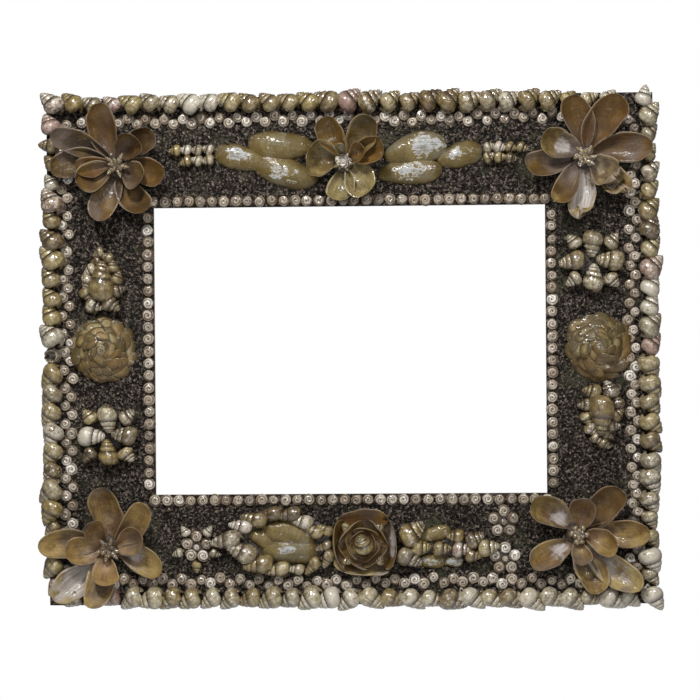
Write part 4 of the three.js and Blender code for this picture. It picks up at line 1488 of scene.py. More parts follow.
@dataclass
class ButtonBorders:
    """The zigzag band of button spirals inside the outer rows, and the single row round the sight edge.

    Band runs hold the pitch of the shells, how far they swing to either side, and how far the far end
    drifts out.
    """

    shop: Workshop
    sizes: FrameSizes = SIZES
    band_x: float = 224.8
    band_y: float = 184.6
    left_drift: float = 1.5
    band_runs: dict[Side, tuple[float, float, float]] = field(default_factory=lambda: {
        Side.TOP: (7.4, 2.0, 0.0), Side.RIGHT: (7.3, 2.4, 0.0),
        Side.BOTTOM: (7.8, 1.9, 0.0), Side.LEFT: (7.2, 2.6, 1.7)})
    band_radius: float = 5.0
    corner_gap: float = 8.0
    sight_inset: float = 4.4
    sight_pitch: float = 9.5
    sight_radius: float = 5.0
    height: float = 4.2
    band_seed: int = 200
    sight_seed: int = 300

    def build(self) -> None:
        """Lays the eight rows."""
        sight_x = self.sizes.sight_width / 2 + self.sight_inset
        sight_y = self.sizes.sight_height / 2 + self.sight_inset
        lines = {
            Side.TOP: (self.band_x - self.corner_gap, self.band_y, sight_x, sight_y),
            Side.BOTTOM: (self.band_x - self.corner_gap, self.band_y, sight_x, sight_y),
            Side.LEFT: (self.band_y, self.band_x + self.left_drift, sight_y - self.corner_gap, sight_x),
            Side.RIGHT: (self.band_y, self.band_x, sight_y - self.corner_gap, sight_x),
        }
        for number, (side, (band_half, band_at, sight_half, sight_at)) in enumerate(lines.items()):
            band = ShellGroup(self.band_seed + number)
            self._row(band, side, band_half, band_at, self.band_radius, *self.band_runs[side])
            self.shop.hand_over(band.mesh, f"spiral_band_{side.label}", Slot.PALE)
            sight = ShellGroup(self.sight_seed + number)
            self._row(sight, side, sight_half, sight_at, self.sight_radius, self.sight_pitch)
            self.shop.hand_over(sight.mesh, f"sight_row_{side.label}", Slot.PALE)

    def _row(self, group: ShellGroup, side: Side, half: float, at: float, radius: float, pitch: float,
             swing: float = 0.0, drift: float = 0.0) -> None:
        """Lays one straight or swinging row.

        Args:
            group: Takes the shells.
            side: The side that the row runs along.
            half: Half the row's length.
            at: Distance of its line from the opening's middle.
            radius: Radius of a shell.
            pitch: Distance between shells.
            swing: How far every second shell stands to either side of the line.
            drift: How far the row's end stands out of the line.
        """
        count = round(2 * half / pitch)
        out = math.radians(side.outwards)
        normal = np.array([math.cos(out), math.sin(out)])
        along = np.array([abs(normal[1]), abs(normal[0])])
        for index in range(count):
            offset = (index + 0.5) / count * 2 * half - half + group.around(0.0, 0.4)
            wander = 0.4 * swing * math.sin(0.23 * index + at) + drift * offset / half
            aside = at + wander + (swing if index % 2 else -swing) + group.around(0.0, 0.3 + 0.3 * swing)
            x, y = (normal * aside + along * offset).tolist()
            tail = float(group.rng.uniform(0.0, 0.5)) if swing and group.rng.random() < 0.55 else 0.0
            spin = side.outwards + 25.0 + group.around(0.0, 30.0) if swing else group.around(0.0, 180.0)
            # The top sight row is darker than the other sides: painted shade on that side.
            tone = 0.57 if swing else 0.3 if side is Side.TOP else 0.46
            group.button(x, y, radius * group.around(0.97, 0.09), self.height, spin, tail, tone=tone)


@dataclass(frozen=True)
class Petal:
    """One valve of a flower: direction, how far its lip reaches from the axis, width, and its colour."""

    direction: float
    reach: float
    width: float
    tone: float = 0.5
    warm: float = 0.15
    chip: float = 0.0
    patch: WornPatch | None = None


@dataclass(frozen=True)
class FlowerPlan:
    """A corner flower: its middle, its spread petals, its steep petals and its stamens."""

    name: str
    x: float
    y: float
    low: tuple[Petal, ...]
    high: tuple[Petal, ...]
    stamen: Stamen
    stamens: int


WHITE_HEART = WornPatch(0.42, 0.0, 0.2, 0.55, 0.8)
PALE_BASE = WornPatch(0.3, 0.1, 0.24, 0.8, 0.7)
PALE_FIELD = WornPatch(0.52, 0.0, 0.6, 1.1, 0.8)
PALE_TINGE = WornPatch(0.5, 0.0, 0.45, 0.9, 0.5)
GREY_TINGE = WornPatch(0.6, 0.0, 0.45, 0.9, 0.3)

CORNER_PLANS = (
    FlowerPlan("top_left", -184.0, 148.0, (
        Petal(107, 51, 24, 0.16, 0.35), Petal(152, 56, 21, 0.16, 0.0),
        Petal(180, 52, 25, 0.3, 0.0, 0.0, GREY_TINGE), Petal(253, 47, 23, 0.4), Petal(301, 44, 24, 0.22),
        Petal(348, 41, 22, 0.3, 0.35), Petal(43, 40, 21, 0.14),
    ), (
        Petal(181, 31, 17, 0.14, 0.5), Petal(207, 33, 24, 0.42), Petal(333, 25, 22, 0.34),
        Petal(57, 27, 22, 0.12, 0.35),
    ), Stamen.SPIKES, 10),
    FlowerPlan("top_right", 187.0, 151.0, (
        Petal(103, 49, 25, 0.26, 0.35), Petal(60, 54, 28, 0.22, 0.4), Petal(9, 53, 24, 0.3, 0.3),
        Petal(319, 46, 22, 0.6, 0.0, 0.3, PALE_TINGE), Petal(264, 52, 21, 0.7, 0.0, 0.26, PALE_FIELD),
        Petal(235, 44, 19, 0.48), Petal(185, 48, 22, 0.48),
    ), (
        Petal(152, 38, 24, 0.66, 0.0, 0.0, WHITE_HEART), Petal(323, 31, 25, 0.62, 0.0, 0.26),
    ), Stamen.CURLS, 12),
    FlowerPlan("bottom_left", -193.0, -157.0, (
        Petal(95, 50, 26, 0.64, 0.4), Petal(47, 49, 22, 0.8, 0.6),
        Petal(340, 47, 23, 1.05, 0.4, 0.0, PALE_BASE), Petal(254, 47, 23, 1.0, 0.5),
        Petal(223, 58, 26, 0.95, 0.0, 0.0, PALE_FIELD), Petal(174, 54, 24, 1.05, 0.5),
    ), (
        Petal(18, 31, 23, 0.8, 0.8), Petal(269, 27, 22, 0.9, 0.8), Petal(183, 32, 23, 0.95, 0.7),
        Petal(118, 26, 19, 0.7, 0.7),
    ), Stamen.SPIKES, 11),
    FlowerPlan("bottom_right", 180.0, -147.0, (
        Petal(143, 46, 24, 0.7, 0.2, 0.0, PALE_BASE), Petal(46, 49, 25, 0.34, 0.3),
        Petal(2, 55, 22, 0.68, 0.35), Petal(318, 63, 24, 1.0, 0.0, 0.0, PALE_TINGE),
        Petal(287, 48, 25, 0.68, 0.25), Petal(212, 45, 22, 0.74, 0.5, 0.0, PALE_BASE),
    ), (
        Petal(82, 30, 22, 0.56, 0.45), Petal(340, 30, 20, 0.68, 0.5), Petal(274, 23, 16, 0.6, 0.4),
    ), Stamen.BEADS, 12),
)


@dataclass
class CornerFlowers:
    """The four corner flowers of mussel valves, each round a heart of tiny shells."""

    shop: Workshop
    plans: tuple[FlowerPlan, ...] = CORNER_PLANS
    low_start: float = 5.5
    low_seat: float = 5.0
    low_rise: float = 12.5
    high_start: float = 4.0
    high_seat: float = 8.0
    high_rise: float = 14.0
    rise_step: float = 4.5
    cup: float = 0.28
    stamen_seat: float = 8.0
    stamen_rings: Pair = (5.6, 2.6)
    stamen_tilts: Pair = (26.0, 55.0)
    seed: int = 400
    heart_seed: int = 450

    def build(self) -> None:
        """Builds petals and stamens of each flower."""
        for number, plan in enumerate(self.plans):
            flower = ShellGroup(self.seed + number)
            flower.mound(plan.x, plan.y, 11.0, 11.0, 9.0)
            self.lay_petals(flower, plan.x, plan.y, plan.low, self.low_start, self.low_seat, self.low_rise)
            self.lay_petals(flower, plan.x, plan.y, plan.high, self.high_start, self.high_seat, self.high_rise)
            self.shop.hand_over(flower.mesh, f"flower_{plan.name}", Slot.MUSSEL)
            heart = ShellGroup(self.heart_seed + number)
            self._stamens(heart, plan)
            self.shop.hand_over(heart.mesh, f"stamens_{plan.name}", Slot.PALE)

    def lay_petals(self, group: ShellGroup, x: float, y: float, petals: tuple[Petal, ...], start: float,
                   seat: float, rise: float, kind: int = Kind.PETAL, depth: float = 1.0) -> None:
        """Lays one whorl of petals, every second one higher.

        Args:
            group: Takes the valves.
            x, y: The flower's middle.
            petals: The valves.
            start: Distance of their hinges from the axis.
            seat: Height of their hinges.
            rise: How far their lips stand above their hinges.
            kind: Index of their finish.
            depth: How deep their hollows are beside those of the corner flowers, and how much painted shade lies
                in them.
        """
        for index, petal in enumerate(petals):
            climb = rise + (self.rise_step if index % 2 else 0.0)
            run = petal.reach - start
            valve = MusselValve(math.hypot(run, climb), petal.width, depth * self.cup * group.around(1.0, 0.12),
                                bend=group.around(0.0, 0.05), curl=0.02, chip=petal.chip,
                                seed=int(group.rng.integers(9999)), patch=petal.patch,
                                widest=group.around(0.6, 0.03), base_shade=0.3 * depth)
            place = Placement(*step_out(x, y, start, petal.direction), seat, petal.direction,
                              math.degrees(math.atan2(climb, run)), group.around(0.0, 7.0))
            group.mesh.add(valve.surface(), place, Tint(petal.tone, 0.12, petal.warm), kind)

    def _stamens(self, group: ShellGroup, plan: FlowerPlan) -> None:
        """Sets the tiny shells of the heart in two rings, pointing outwards and up.

        Args:
            group: Takes the shells.
            plan: The flower.
        """
        z = self.stamen_seat + 1.0
        group.mound(plan.x, plan.y, 6.5, 6.5, 3.5, self.stamen_seat - 1.5)
        for index in range(plan.stamens):
            heading = 360.0 * index / plan.stamens + group.around(0.0, 12.0)
            x, y = step_out(plan.x, plan.y, self.stamen_rings[index % 2], heading)
            tilt = self.stamen_tilts[index % 2]
            pale = Tint(group.around(0.4, 0.18), group.around(0.06, 0.12), group.around(0.62, 0.2), 0.12)
            if plan.stamen is Stamen.SPIKES:
                group.spire(x, y, heading, group.around(10.5, 1.5), group.around(4.8, 0.4), 0.3, tilt, pale, z)
            elif plan.stamen is Stamen.BEADS:
                group.spire(x, y, heading + group.around(180.0, 40.0), group.around(7.0, 0.8),
                            group.around(5.0, 0.4), 0.3, tilt - 40.0, pale, z)
            else:
                group.button(x, y, group.around(2.8, 0.5), 2.2, group.around(0.0, 180.0), 0.3, z, 45.0, 0.95)
                paler = replace(pale, tone=pale.tone + 0.2, wear=pale.wear + 0.1)
                group.spire(x, y, heading + 20.0, group.around(8.4, 1.2), group.around(4.0, 0.4), 0.3,
                            tilt - 10.0, paler, z + 1.2)


@dataclass(frozen=True)
class Leaf:
    """One mussel valve laid hollow side down: its middle, length, width, direction and worn patch."""

    node: str
    x: float
    y: float
    length: float
    width: float
    direction: float
    tone: float
    patch: WornPatch | None = None
    lift: float = 0.0


@dataclass
class LeafBed:
    """Lays domed valves as leaves."""

    shop: Workshop
    height: float = 0.2

    def lay(self, leaf: Leaf, seed: int) -> None:
        """Builds one leaf as its own piece, its wall thin and its rim on the ground.

        Args:
            leaf: The leaf.
            seed: Seed of its unevenness.
        """
        group = ShellGroup(seed)
        valve = MusselValve(leaf.length, leaf.width, -self.height, 1.0, 0.55, 0.02, seed=seed, patch=leaf.patch,
                            rows=26, half_columns=16, fullness=2.2, rim_shade=0.8)
        x, y = step_out(leaf.x, leaf.y, -leaf.length / 2, leaf.direction)
        place = Placement(x, y, leaf.lift, leaf.direction)
        group.mesh.add(valve.surface(), place, Tint(leaf.tone, 0.14, 0.15), Kind.LEAF)
        self.shop.hand_over(group.mesh, leaf.node, Slot.MUSSEL)


@dataclass
class TopSpray:
    """The middle flower of the top rail, its six leaves, and the two short trails of tiny winkles."""

    shop: Workshop
    flower_x: float = -3.6
    flower_y: float = 148.0
    low: tuple[Petal, ...] = (Petal(262, 30, 23, 0.85, 0.0), Petal(313, 31, 27, 0.9, 0.0))
    high: tuple[Petal, ...] = (
        Petal(112, 38, 22, 0.45, 0.7, 0.0, WornPatch(0.42, 0.0, 0.12, 0.9, 0.6)),
        Petal(54, 41, 25, 0.55, 0.2, 0.0, WornPatch(0.45, -0.3, 0.3, 0.4, 0.5)),
        Petal(172, 29, 30, 0.75, 0.2), Petal(26, 34, 22, 0.2, 0.8), Petal(36, 20, 14, 0.4, 0.8),
        Petal(98, 14, 9, 1.0, 0.0, 0.0, WornPatch(0.6, 0.0, 0.5, 0.9, 0.6)),
    )
    leaves: tuple[Leaf, ...] = (
        Leaf("leaf_left_lower", -50.0, 143.5, 54.0, 25.5, 166.0, 0.55,
             WornPatch(0.55, 0.1, 0.42, 0.8, 0.58), 0.2),
        Leaf("leaf_left_upper", -53.6, 163.2, 53.0, 25.0, 172.0, 0.6, None, 0.4),
        Leaf("leaf_left_outer", -85.6, 154.8, 44.0, 21.0, 172.0, 0.62,
             WornPatch(0.55, -0.2, 0.36, 0.7, 0.68), 0.0),
        Leaf("leaf_right_upper", 53.6, 158.8, 51.0, 27.0, 6.0, 0.6,
             WornPatch(0.68, 0.1, 0.36, 0.85, 0.76), 0.4),
        Leaf("leaf_right_lower", 49.0, 140.4, 52.0, 22.5, 8.0, 0.55,
             WornPatch(0.55, 0.0, 0.48, 0.9, 0.6), 0.2),
        Leaf("leaf_right_outer", 89.0, 154.0, 37.0, 21.0, 11.0, 0.6,
             WornPatch(0.5, 0.1, 0.5, 0.9, 0.5), 0.0),
    )
    heart_shells: int = 14
    heart_turn: float = 137.5
    heart_pitch: float = 1.6
    heart_top: float = 11.5
    trail_start: float = 111.0
    trail_pitch: float = 8.8
    trail_rows: tuple[tuple[float, int], ...] = ((160.2, 4), (151.6, 3))
    seed: int = 500
    leaf_seed: int = 510
    trail_seed: int = 520

    def build(self) -> None:
        """Builds flower, heart, leaves and trails."""
        flower = ShellGroup(self.seed)
        flower.mound(self.flower_x, self.flower_y, 10.0, 10.0, 6.0)
        maker = CornerFlowers(self.shop)
        maker.lay_petals(flower, self.flower_x, self.flower_y, self.low, start=3.0, seat=8.5, rise=3.0,
                         kind=Kind.SCALE, depth=1.1)
        maker.lay_petals(flower, self.flower_x, self.flower_y, self.high, start=4.0, seat=8.0, rise=15.0,
                         kind=Kind.SCALE, depth=1.3)
        self.shop.hand_over(flower.mesh, "top_flower", Slot.MUSSEL)
        self._heart()
        bed = LeafBed(self.shop)
        for number, leaf in enumerate(self.leaves):
            bed.lay(leaf, self.leaf_seed + number)
        for name, sign in (("left", -1.0), ("right", 1.0)):
            self._trail(name, sign)

    def _heart(self) -> None:
        """Sets a cluster of tiny buttons and spires in the flower."""
        group = ShellGroup(self.seed + 1)
        group.mound(self.flower_x, self.flower_y, 8.0, 8.0, 5.0, 6.0)
        for index in range(self.heart_shells):
            heading = index * self.heart_turn
            reach = self.heart_pitch * math.sqrt(index)
            x, y = step_out(self.flower_x, self.flower_y + 1.0, reach, heading)
            z = self.heart_top - 0.5 * reach
            if index > 5 and y < self.flower_y:
                tint = Tint(group.around(0.2, 0.15), 0.2, 0.8)
                group.spire(x, y, heading, 6.5, 4.2, 0.4, 10.0, tint, z - 1.0)
            else:
                group.button(x, y, group.around(2.7, 0.4), 2.8, heading, 0.2, z, 35.0, 0.85)
        self.shop.hand_over(group.mesh, "top_flower_heart", Slot.PALE)

    def _trail(self, name: str, sign: float) -> None:
        """Lays two short rows of tiny winkles at the outer end of the leaves.

        Args:
            name: The last word of its node's name.
            sign: 1 on the right of the flower, -1 on its left.
        """
        group = ShellGroup(self.trail_seed + int(sign > 0))
        for y, count in self.trail_rows:
            for index in range(count):
                x = sign * (self.trail_start + self.trail_pitch * index)
                heading = (0.0 if sign > 0 else 180.0) + group.around(0.0, 35.0)
                group.spire(x, y + group.around(0.0, 0.6), heading, group.around(11.4, 0.8),
                            group.around(9.6, 0.5), 0.34, 0.0, group.winkle_tint(0.1))
        self.shop.hand_over(group.mesh, f"trail_{name}", Slot.GOLDEN)


@dataclass(frozen=True)
class RosePetal:
    """One valve of the rose, standing on its long edge round the bud.

    Heading is where it stands, seen from the bud, and rim how far its upper edge is from the bud. Length
    runs across the heading and width up the valve. Lean is 90 where it is upright, and cup is its depth as
    a share of its width.
    """

    heading: float
    rim: float
    length: float
    width: float
    lean: float
    tone: float
    warm: float = 0.1
    cup: float = 0.34
    patch: WornPatch | None = None


@dataclass(frozen=True)
class SprayPlan:
    """A spray of the bottom rail: putty bed, leaves, spires as x, y, direction, length, how fat and sleek."""

    name: str
    bed: tuple[float, float, float, float]
    leaves: tuple[Leaf, ...]
    spires: tuple[tuple[float, float, float, float], ...]
    fatness: float
    sleek: float


def all_over(depth: float) -> WornPatch:
    """A patch that wears nearly the whole valve, this deep."""
    return WornPatch(0.5, 0.0, 0.8, 1.4, depth)


SPRAY_PLANS = (
    SprayPlan("left", (-58.5, -151.8, 43.0, 23.5), (
        Leaf("spray_left_lower_valve", -48.5, -160.5, 45.0, 23.0, 4.0, 0.6,
             WornPatch(0.45, 0.1, 0.25, 0.5, 0.7), 1.2),
        Leaf("spray_left_upper_valve", -50.0, -146.4, 44.0, 25.0, -17.0, 0.7,
             WornPatch(0.8, 0.4, 0.2, 0.4, 0.5), 0.6),
        Leaf("spray_left_inner_valve", -71.0, -151.0, 24.0, 15.0, -20.0, 0.75, None, 0.4),
    ), (
        (-97, -150.5, 190, 25), (-86, -139.8, 172, 19), (-75.5, -134.5, 168, 22), (-63, -130, 184, 21),
        (-47.5, -130.5, 190, 20), (-37.5, -136.5, 166, 18), (-28.5, -144.5, 152, 16), (-19.5, -143.5, 155, 15),
        (-20.6, -156, 205, 13.5), (-18, -165, 245, 15.5), (-30, -171, 230, 16), (-43, -174.5, 182, 14),
        (-57, -174, 192, 20), (-72, -170, 188, 24), (-85, -161, 160, 25),
    ), 0.52, 0.8),
    SprayPlan("right", (76.0, -156.5, 34.0, 13.5), (
        Leaf("spray_right_upper_valve", 67.0, -147.5, 26.0, 13.5, 22.0, 0.85, all_over(0.48), 0.8),
        Leaf("spray_right_lower_valve", 64.0, -168.2, 23.0, 12.5, -6.0, 0.85, all_over(0.42), 0.8),
        Leaf("spray_right_outer_valve", 81.5, -169.2, 15.0, 9.5, 10.0, 0.9, all_over(0.6), 0.8),
    ), (
        (47, -146, 38, 22), (44.5, -164, -25, 21), (54, -157, 0, 16), (71, -158, 4, 15), (84, -148.5, 180, 14),
        (86, -158.5, 0, 15), (97, -151, 25, 16), (107.5, -157.4, 10, 17), (96, -163.6, -5, 13),
    ), 0.7, 0.2),
)


@dataclass
class BottomSpray:
    """The rose of the bottom rail and the sprays on both sides of it."""

    shop: Workshop
    rose_x: float = 9.6
    rose_y: float = -153.6
    petals: tuple[RosePetal, ...] = (
        RosePetal(92, 27.4, 41, 21, 26, 0.95, 0.8, 0.14), RosePetal(184, 22.4, 41, 21, 52, 0.95, 0.35),
        RosePetal(0, 26.0, 41, 21, 46, 0.9, 0.1, 0.34, WornPatch(0.5, 0.0, 0.4, 0.35, 0.7)),
        RosePetal(268, 24.8, 46, 20, 28, 0.95, 0.0, 0.2),
        RosePetal(40, 17.5, 27, 15, 50, 1.0, 0.4), RosePetal(140, 16.5, 27, 15, 50, 1.0, 0.4),
        RosePetal(232, 17.0, 30, 15, 48, 0.95, 0.3), RosePetal(318, 17.0, 26, 15, 50, 0.95, 0.4),
        RosePetal(195, 12.6, 21, 11, 44, 1.05, 0.4, 0.3), RosePetal(315, 12.6, 21, 11, 44, 1.05, 0.4, 0.3),
        RosePetal(75, 12.4, 21, 11, 44, 1.05, 0.6, 0.3), RosePetal(10, 9.8, 15, 9, 40, 0.9, 0.5, 0.3),
        RosePetal(130, 9.8, 15, 9, 40, 0.9, 0.5, 0.3), RosePetal(250, 9.8, 15, 9, 40, 0.9, 0.5, 0.3),
    )
    foot_low: float = 1.5
    foot_climb: float = 0.45
    outer_rim: float = 22.0
    gap_radius: float = 19.0
    gap_winkle: Pair = (8.5, 7.0)
    bud: tuple[float, float, float] = (19.0, 16.5, 110.0)
    spire_scale: float = 1.16
    plans: tuple[SprayPlan, ...] = SPRAY_PLANS
    seed: int = 600
    spray_seed: int = 620
    leaf_seed: int = 630

    def build(self) -> None:
        """Builds rose, bud, sprays and their leaves."""
        self._rose()
        bed = LeafBed(self.shop)
        for number, plan in enumerate(self.plans):
            self._spray(plan, self.spray_seed + number)
            for index, leaf in enumerate(plan.leaves):
                bed.lay(leaf, self.leaf_seed + 10 * number + index)

    def _rose(self) -> None:
        """Stands four outer valves and smaller ones round the bud, with four tiny winkles in the gaps."""
        group = ShellGroup(self.seed)
        group.mound(self.rose_x, self.rose_y, 15.0, 15.0, 7.0)
        for petal in self.petals:
            self._stand(group, petal)
        for heading in (45.0, 135.0, 225.0, 315.0):
            x, y = step_out(self.rose_x, self.rose_y, self.gap_radius, heading)
            tint = Tint(group.around(0.4, 0.15), 0.15, 0.8)
            group.spire(x, y, heading + 120.0, *self.gap_winkle, 0.4, 20.0, tint, 8.0)
        self.shop.hand_over(group.mesh, "rose", Slot.MUSSEL)
        middle = ShellGroup(self.seed + 1)
        length, width, heading = self.bud
        middle.spire(self.rose_x, self.rose_y, heading, length, width, 0.4, 35.0, Tint(0.46, 0.0, 0.9), 8.0, 0.3)
        self.shop.hand_over(middle.mesh, "rose_bud", Slot.GOLDEN)

    def _stand(self, group: ShellGroup, petal: RosePetal) -> None:
        """Stands one valve on its long edge, hollow side to the bud and its upper edge on the given rim.

        The nearer its rim is to the bud, the higher it stands.

        Args:
            group: Takes the valve.
            petal: The valve.
        """
        valve = MusselValve(petal.length, petal.width, petal.cup, 0.8, 0.5, 0.0, patch=petal.patch,
                            seed=int(group.rng.integers(999)), rows=22, fullness=2.4)
        lean = math.radians(petal.lean)
        out = petal.rim - petal.width / 2 * math.cos(lean)
        middle = step_out(self.rose_x, self.rose_y, out, petal.heading)
        x, y = step_out(*middle, -petal.length / 2, petal.heading - 90.0)
        foot = self.foot_low + self.foot_climb * max(0.0, self.outer_rim - petal.rim)
        place = Placement(x, y, foot + petal.width / 2 * math.sin(lean), petal.heading - 90.0, 0.0, petal.lean)
        group.mesh.add(valve.surface(), place, Tint(petal.tone, 0.14, petal.warm), Kind.PETAL, 0.45)

    def _spray(self, plan: SprayPlan, seed: int) -> None:
        """Lays one putty bed with its wreath of spires.

        Args:
            plan: The spray.
            seed: Seed of its shells.
        """
        group = ShellGroup(seed)
        x, y, half_x, half_y = plan.bed
        group.mound(x, y, half_x, half_y, 1.6)
        for spire_x, spire_y, heading, length in plan.spires:
            size = self.spire_scale * length
            group.spire(spire_x, spire_y, heading + group.around(0.0, 4.0), size,
                        size * group.around(plan.fatness, 0.05), 0.36, group.around(0.0, 4.0),
                        group.winkle_tint(), 0.0, plan.sleek)
        self.shop.hand_over(group.mesh, f"spray_{plan.name}", Slot.GOLDEN)


@dataclass(frozen=True)
class Spot:
    """Where a medallion lies: last word of its node's name, middle, seed of its shells, and direction."""

    side: str
    x: float
    y: float
    seed: int
    turn: float = 0.0


@dataclass
class Medallions:
    """Florets, teardrops, stars and rosettes.

    A spire's sizes are its length and width, and a button's are its radius and height. A place in the
    teardrop's ring is how far a shell lies along the large spire and how far aside, then its length. A tier
    of a rosette is how far out its valves lie, their number, their height above the ground and their
    length.
    """

    shop: Workshop
    florets: tuple[Spot, ...] = (
        Spot("left", -123.2, -156.4, 700), Spot("right_upper", 121.2, -137.2, 701),
        Spot("right_lower", 122.4, -166.6, 702))
    floret_radius: float = 8.3
    floret_button: Pair = (5.1, 4.2)
    floret_middle: Pair = (2.8, 3.2)
    ringed_floret: str = "left"
    floret_ring: float = 15.0
    floret_spire: Pair = (10.4, 7.8)
    teardrops: tuple[Spot, ...] = (
        Spot("left", -197.0, 56.0, 710, 90.0), Spot("right", 199.0, -52.5, 711, -90.0))
    teardrop_spire: Pair = (37.0, 20.5)
    teardrop_ring: tuple[tuple[float, float, float], ...] = (
        (23.0, 2.2, 10.0), (18.8, -4.4, 10.5), (11.4, -8.4, 11.5), (2.4, -11.6, 12.0), (-7.4, -11.8, 12.0),
        (-17.6, -6.4, 15.0), (-18.4, 7.0, 15.0), (-9.4, 12.6, 12.0), (0.4, 11.8, 12.0), (9.4, 8.6, 11.5),
        (16.4, 4.4, 9.0))
    stars: tuple[Spot, ...] = (Spot("left", -193.0, -67.0, 720), Spot("right", 193.0, 69.0, 721))
    star_radius: float = 15.0
    star_spire: Pair = (24.0, 16.0)
    star_gap_radius: float = 20.5
    star_gap_spire: Pair = (15.5, 12.8)
    star_turned: tuple[str, int] = ("right", 2)
    star_tints: dict[str, tuple[Tint, ...]] = field(default_factory=lambda: {
        "left": (Tint(0.32, 0.2, 0.4), Tint(0.76, 0.2, 0.3), Tint(0.76, 0.42, 0.2), Tint(0.5, 0.12, 0.95)),
        "right": (Tint(0.5, 0.24, 0.55), Tint(0.44, 0.24, 0.4), Tint(0.42, 0.2, 0.6), Tint(0.5, 0.28, 0.5))})
    rosettes: tuple[Spot, ...] = (Spot("left", -197.6, 1.5, 730, 30.0), Spot("right", 197.6, 1.6, 731, 210.0))
    tiers: tuple[tuple[float, int, float, float], ...] = (
        (21.8, 14, 0.3, 16.5), (18.6, 13, 2.7, 16.5), (15.2, 12, 4.9, 15.5), (11.6, 10, 6.9, 14.0),
        (7.8, 7, 8.5, 12.0), (5.0, 5, 9.4, 9.5))
    tier_turn: float = 17.0
    scale_fatness: float = 0.56
    rosette_tone: dict[str, float] = field(default_factory=lambda: {"left": 0.9, "right": 0.56})
    swirl: float = 76.0

    def build(self) -> None:
        """Builds every medallion."""
        for word, slot, spots, lay in (
            ("floret", Slot.PALE, self.florets, self._floret),
            ("teardrop", Slot.GOLDEN, self.teardrops, self._teardrop),
            ("star", Slot.GOLDEN, self.stars, self._star),
            ("rosette", Slot.MUSSEL, self.rosettes, self._rosette),
        ):
            for spot in spots:
                group = ShellGroup(spot.seed)
                lay(group, spot)
                self.shop.hand_over(group.mesh, f"{word}_{spot.side}", slot)

    def _floret(self, group: ShellGroup, spot: Spot) -> None:
        """Lays five button spirals round a small one, and five little spires round them where ringed.

        Args:
            group: Takes the shells.
            spot: Where it lies.
        """
        x, y = spot.x, spot.y
        group.mound(x, y, 9.0, 9.0, 1.6)
        for index in range(5):
            heading = 90.0 + 72.0 * index
            spin = group.around(0.0, 180.0)
            group.button(*step_out(x, y, self.floret_radius, heading), *self.floret_button, spin, 0.0, 0.2)
            if spot.side == self.ringed_floret:
                heading += 36.0
                group.spire(*step_out(x, y, self.floret_ring, heading), heading, *self.floret_spire,
                            0.36, 0.0, group.winkle_tint(0.3))
        group.button(x, y, *self.floret_middle, 0.0, 0.0, 1.6)

    def _teardrop(self, group: ShellGroup, spot: Spot) -> None:
        """Lays one large spire and a drop-shaped ring of small ones.

        Args:
            group: Takes the shells.
            spot: Where it lies.
        """
        x, y = spot.x, spot.y
        group.mound(x, y, 14.0, 20.0, 1.5)
        group.spire(*step_out(x, y, -3.0, spot.turn), spot.turn, *self.teardrop_spire, 0.34, 0.0,
                    Tint(0.34, 0.14, 0.85), 0.0, 0.4)
        for long, wide, size in self.teardrop_ring:
            ring_x, ring_y = step_out(*step_out(x, y, long, spot.turn), wide, spot.turn + 90.0)
            out = math.degrees(math.atan2(ring_y - y, ring_x - x)) + group.around(75.0, 40.0)
            group.spire(ring_x, ring_y, out, size * group.around(1.15, 0.06), 0.9 * size, 0.36, 0.0,
                        Tint(group.around(0.33, 0.2), group.around(0.18, 0.14), group.around(0.65, 0.25)))

    def _star(self, group: ShellGroup, spot: Spot) -> None:
        """Lays four large spires with their points inwards and four small ones between, points outwards.

        Args:
            group: Takes the shells.
            spot: Where it lies.
        """
        group.mound(spot.x, spot.y, 13.0, 13.0, 1.6)
        (length, width), (gap_length, gap_width) = self.star_spire, self.star_gap_spire
        for index, tint in enumerate(self.star_tints[spot.side]):
            heading = 90.0 * index
            inwards = 20.0 if (spot.side, index) == self.star_turned else 180.0
            group.spire(*step_out(spot.x, spot.y, self.star_radius, heading),
                        heading + inwards + group.around(0.0, 8.0), group.around(length, 0.8),
                        group.around(width, 0.6), 0.38, 0.0, tint, 0.0, 1.0)
            heading += 45.0
            group.spire(*step_out(spot.x, spot.y, self.star_gap_radius, heading),
                        heading + group.around(0.0, 10.0), group.around(gap_length, 0.8),
                        group.around(gap_width, 0.6), 0.36, 0.0, group.winkle_tint(0.2))

    def _rosette(self, group: ShellGroup, spot: Spot) -> None:
        """Lays tiers of small domed valves like roof tiles, each tier higher and tighter, round a flat spiral.

        Args:
            group: Takes the shells.
            spot: Where it lies.
        """
        x, y, turn = spot.x, spot.y, spot.turn
        group.mound(x, y, 20.0, 20.0, 9.0)
        for reach, count, height, length in self.tiers:
            for index in range(count):
                heading = turn + 360.0 * index / count + group.around(0.0, 4.0)
                slant = heading + self.swirl
                valve = MusselValve(length * group.around(1.0, 0.12), self.scale_fatness * length, -0.065, 0.6,
                                    0.56, -0.05, seed=int(group.rng.integers(999)), rows=12, half_columns=9,
                                    fullness=2.0, base_shade=0.6, rim_shade=3.6, lopsided=0.0)
                hinge = step_out(*step_out(x, y, reach, heading), -length / 2, slant)
                place = Placement(*hinge, height + group.around(1.6, 1.0), slant + group.around(0.0, 9.0),
                                  group.around(2.0, 7.0), group.around(24.0, 10.0))
                amber = 0.5 * max(0.0, -math.sin(math.radians(heading)))
                tint = Tint(group.around(self.rosette_tone[spot.side], 0.7), abs(group.around(0.0, 0.5)),
                            max(0.0, group.around(0.0, 0.7)) + amber)
                group.mesh.add(valve.surface(), place, tint, Kind.SCALE, 0.9)
            turn += self.tier_turn
        middle = ButtonSpiral(5.6, 2.8, 2.2)
        group.mesh.add(middle.surface(), Placement(x, y, 10.2), Tint(0.3, 0.0, 0.8), Kind.SPIRE)


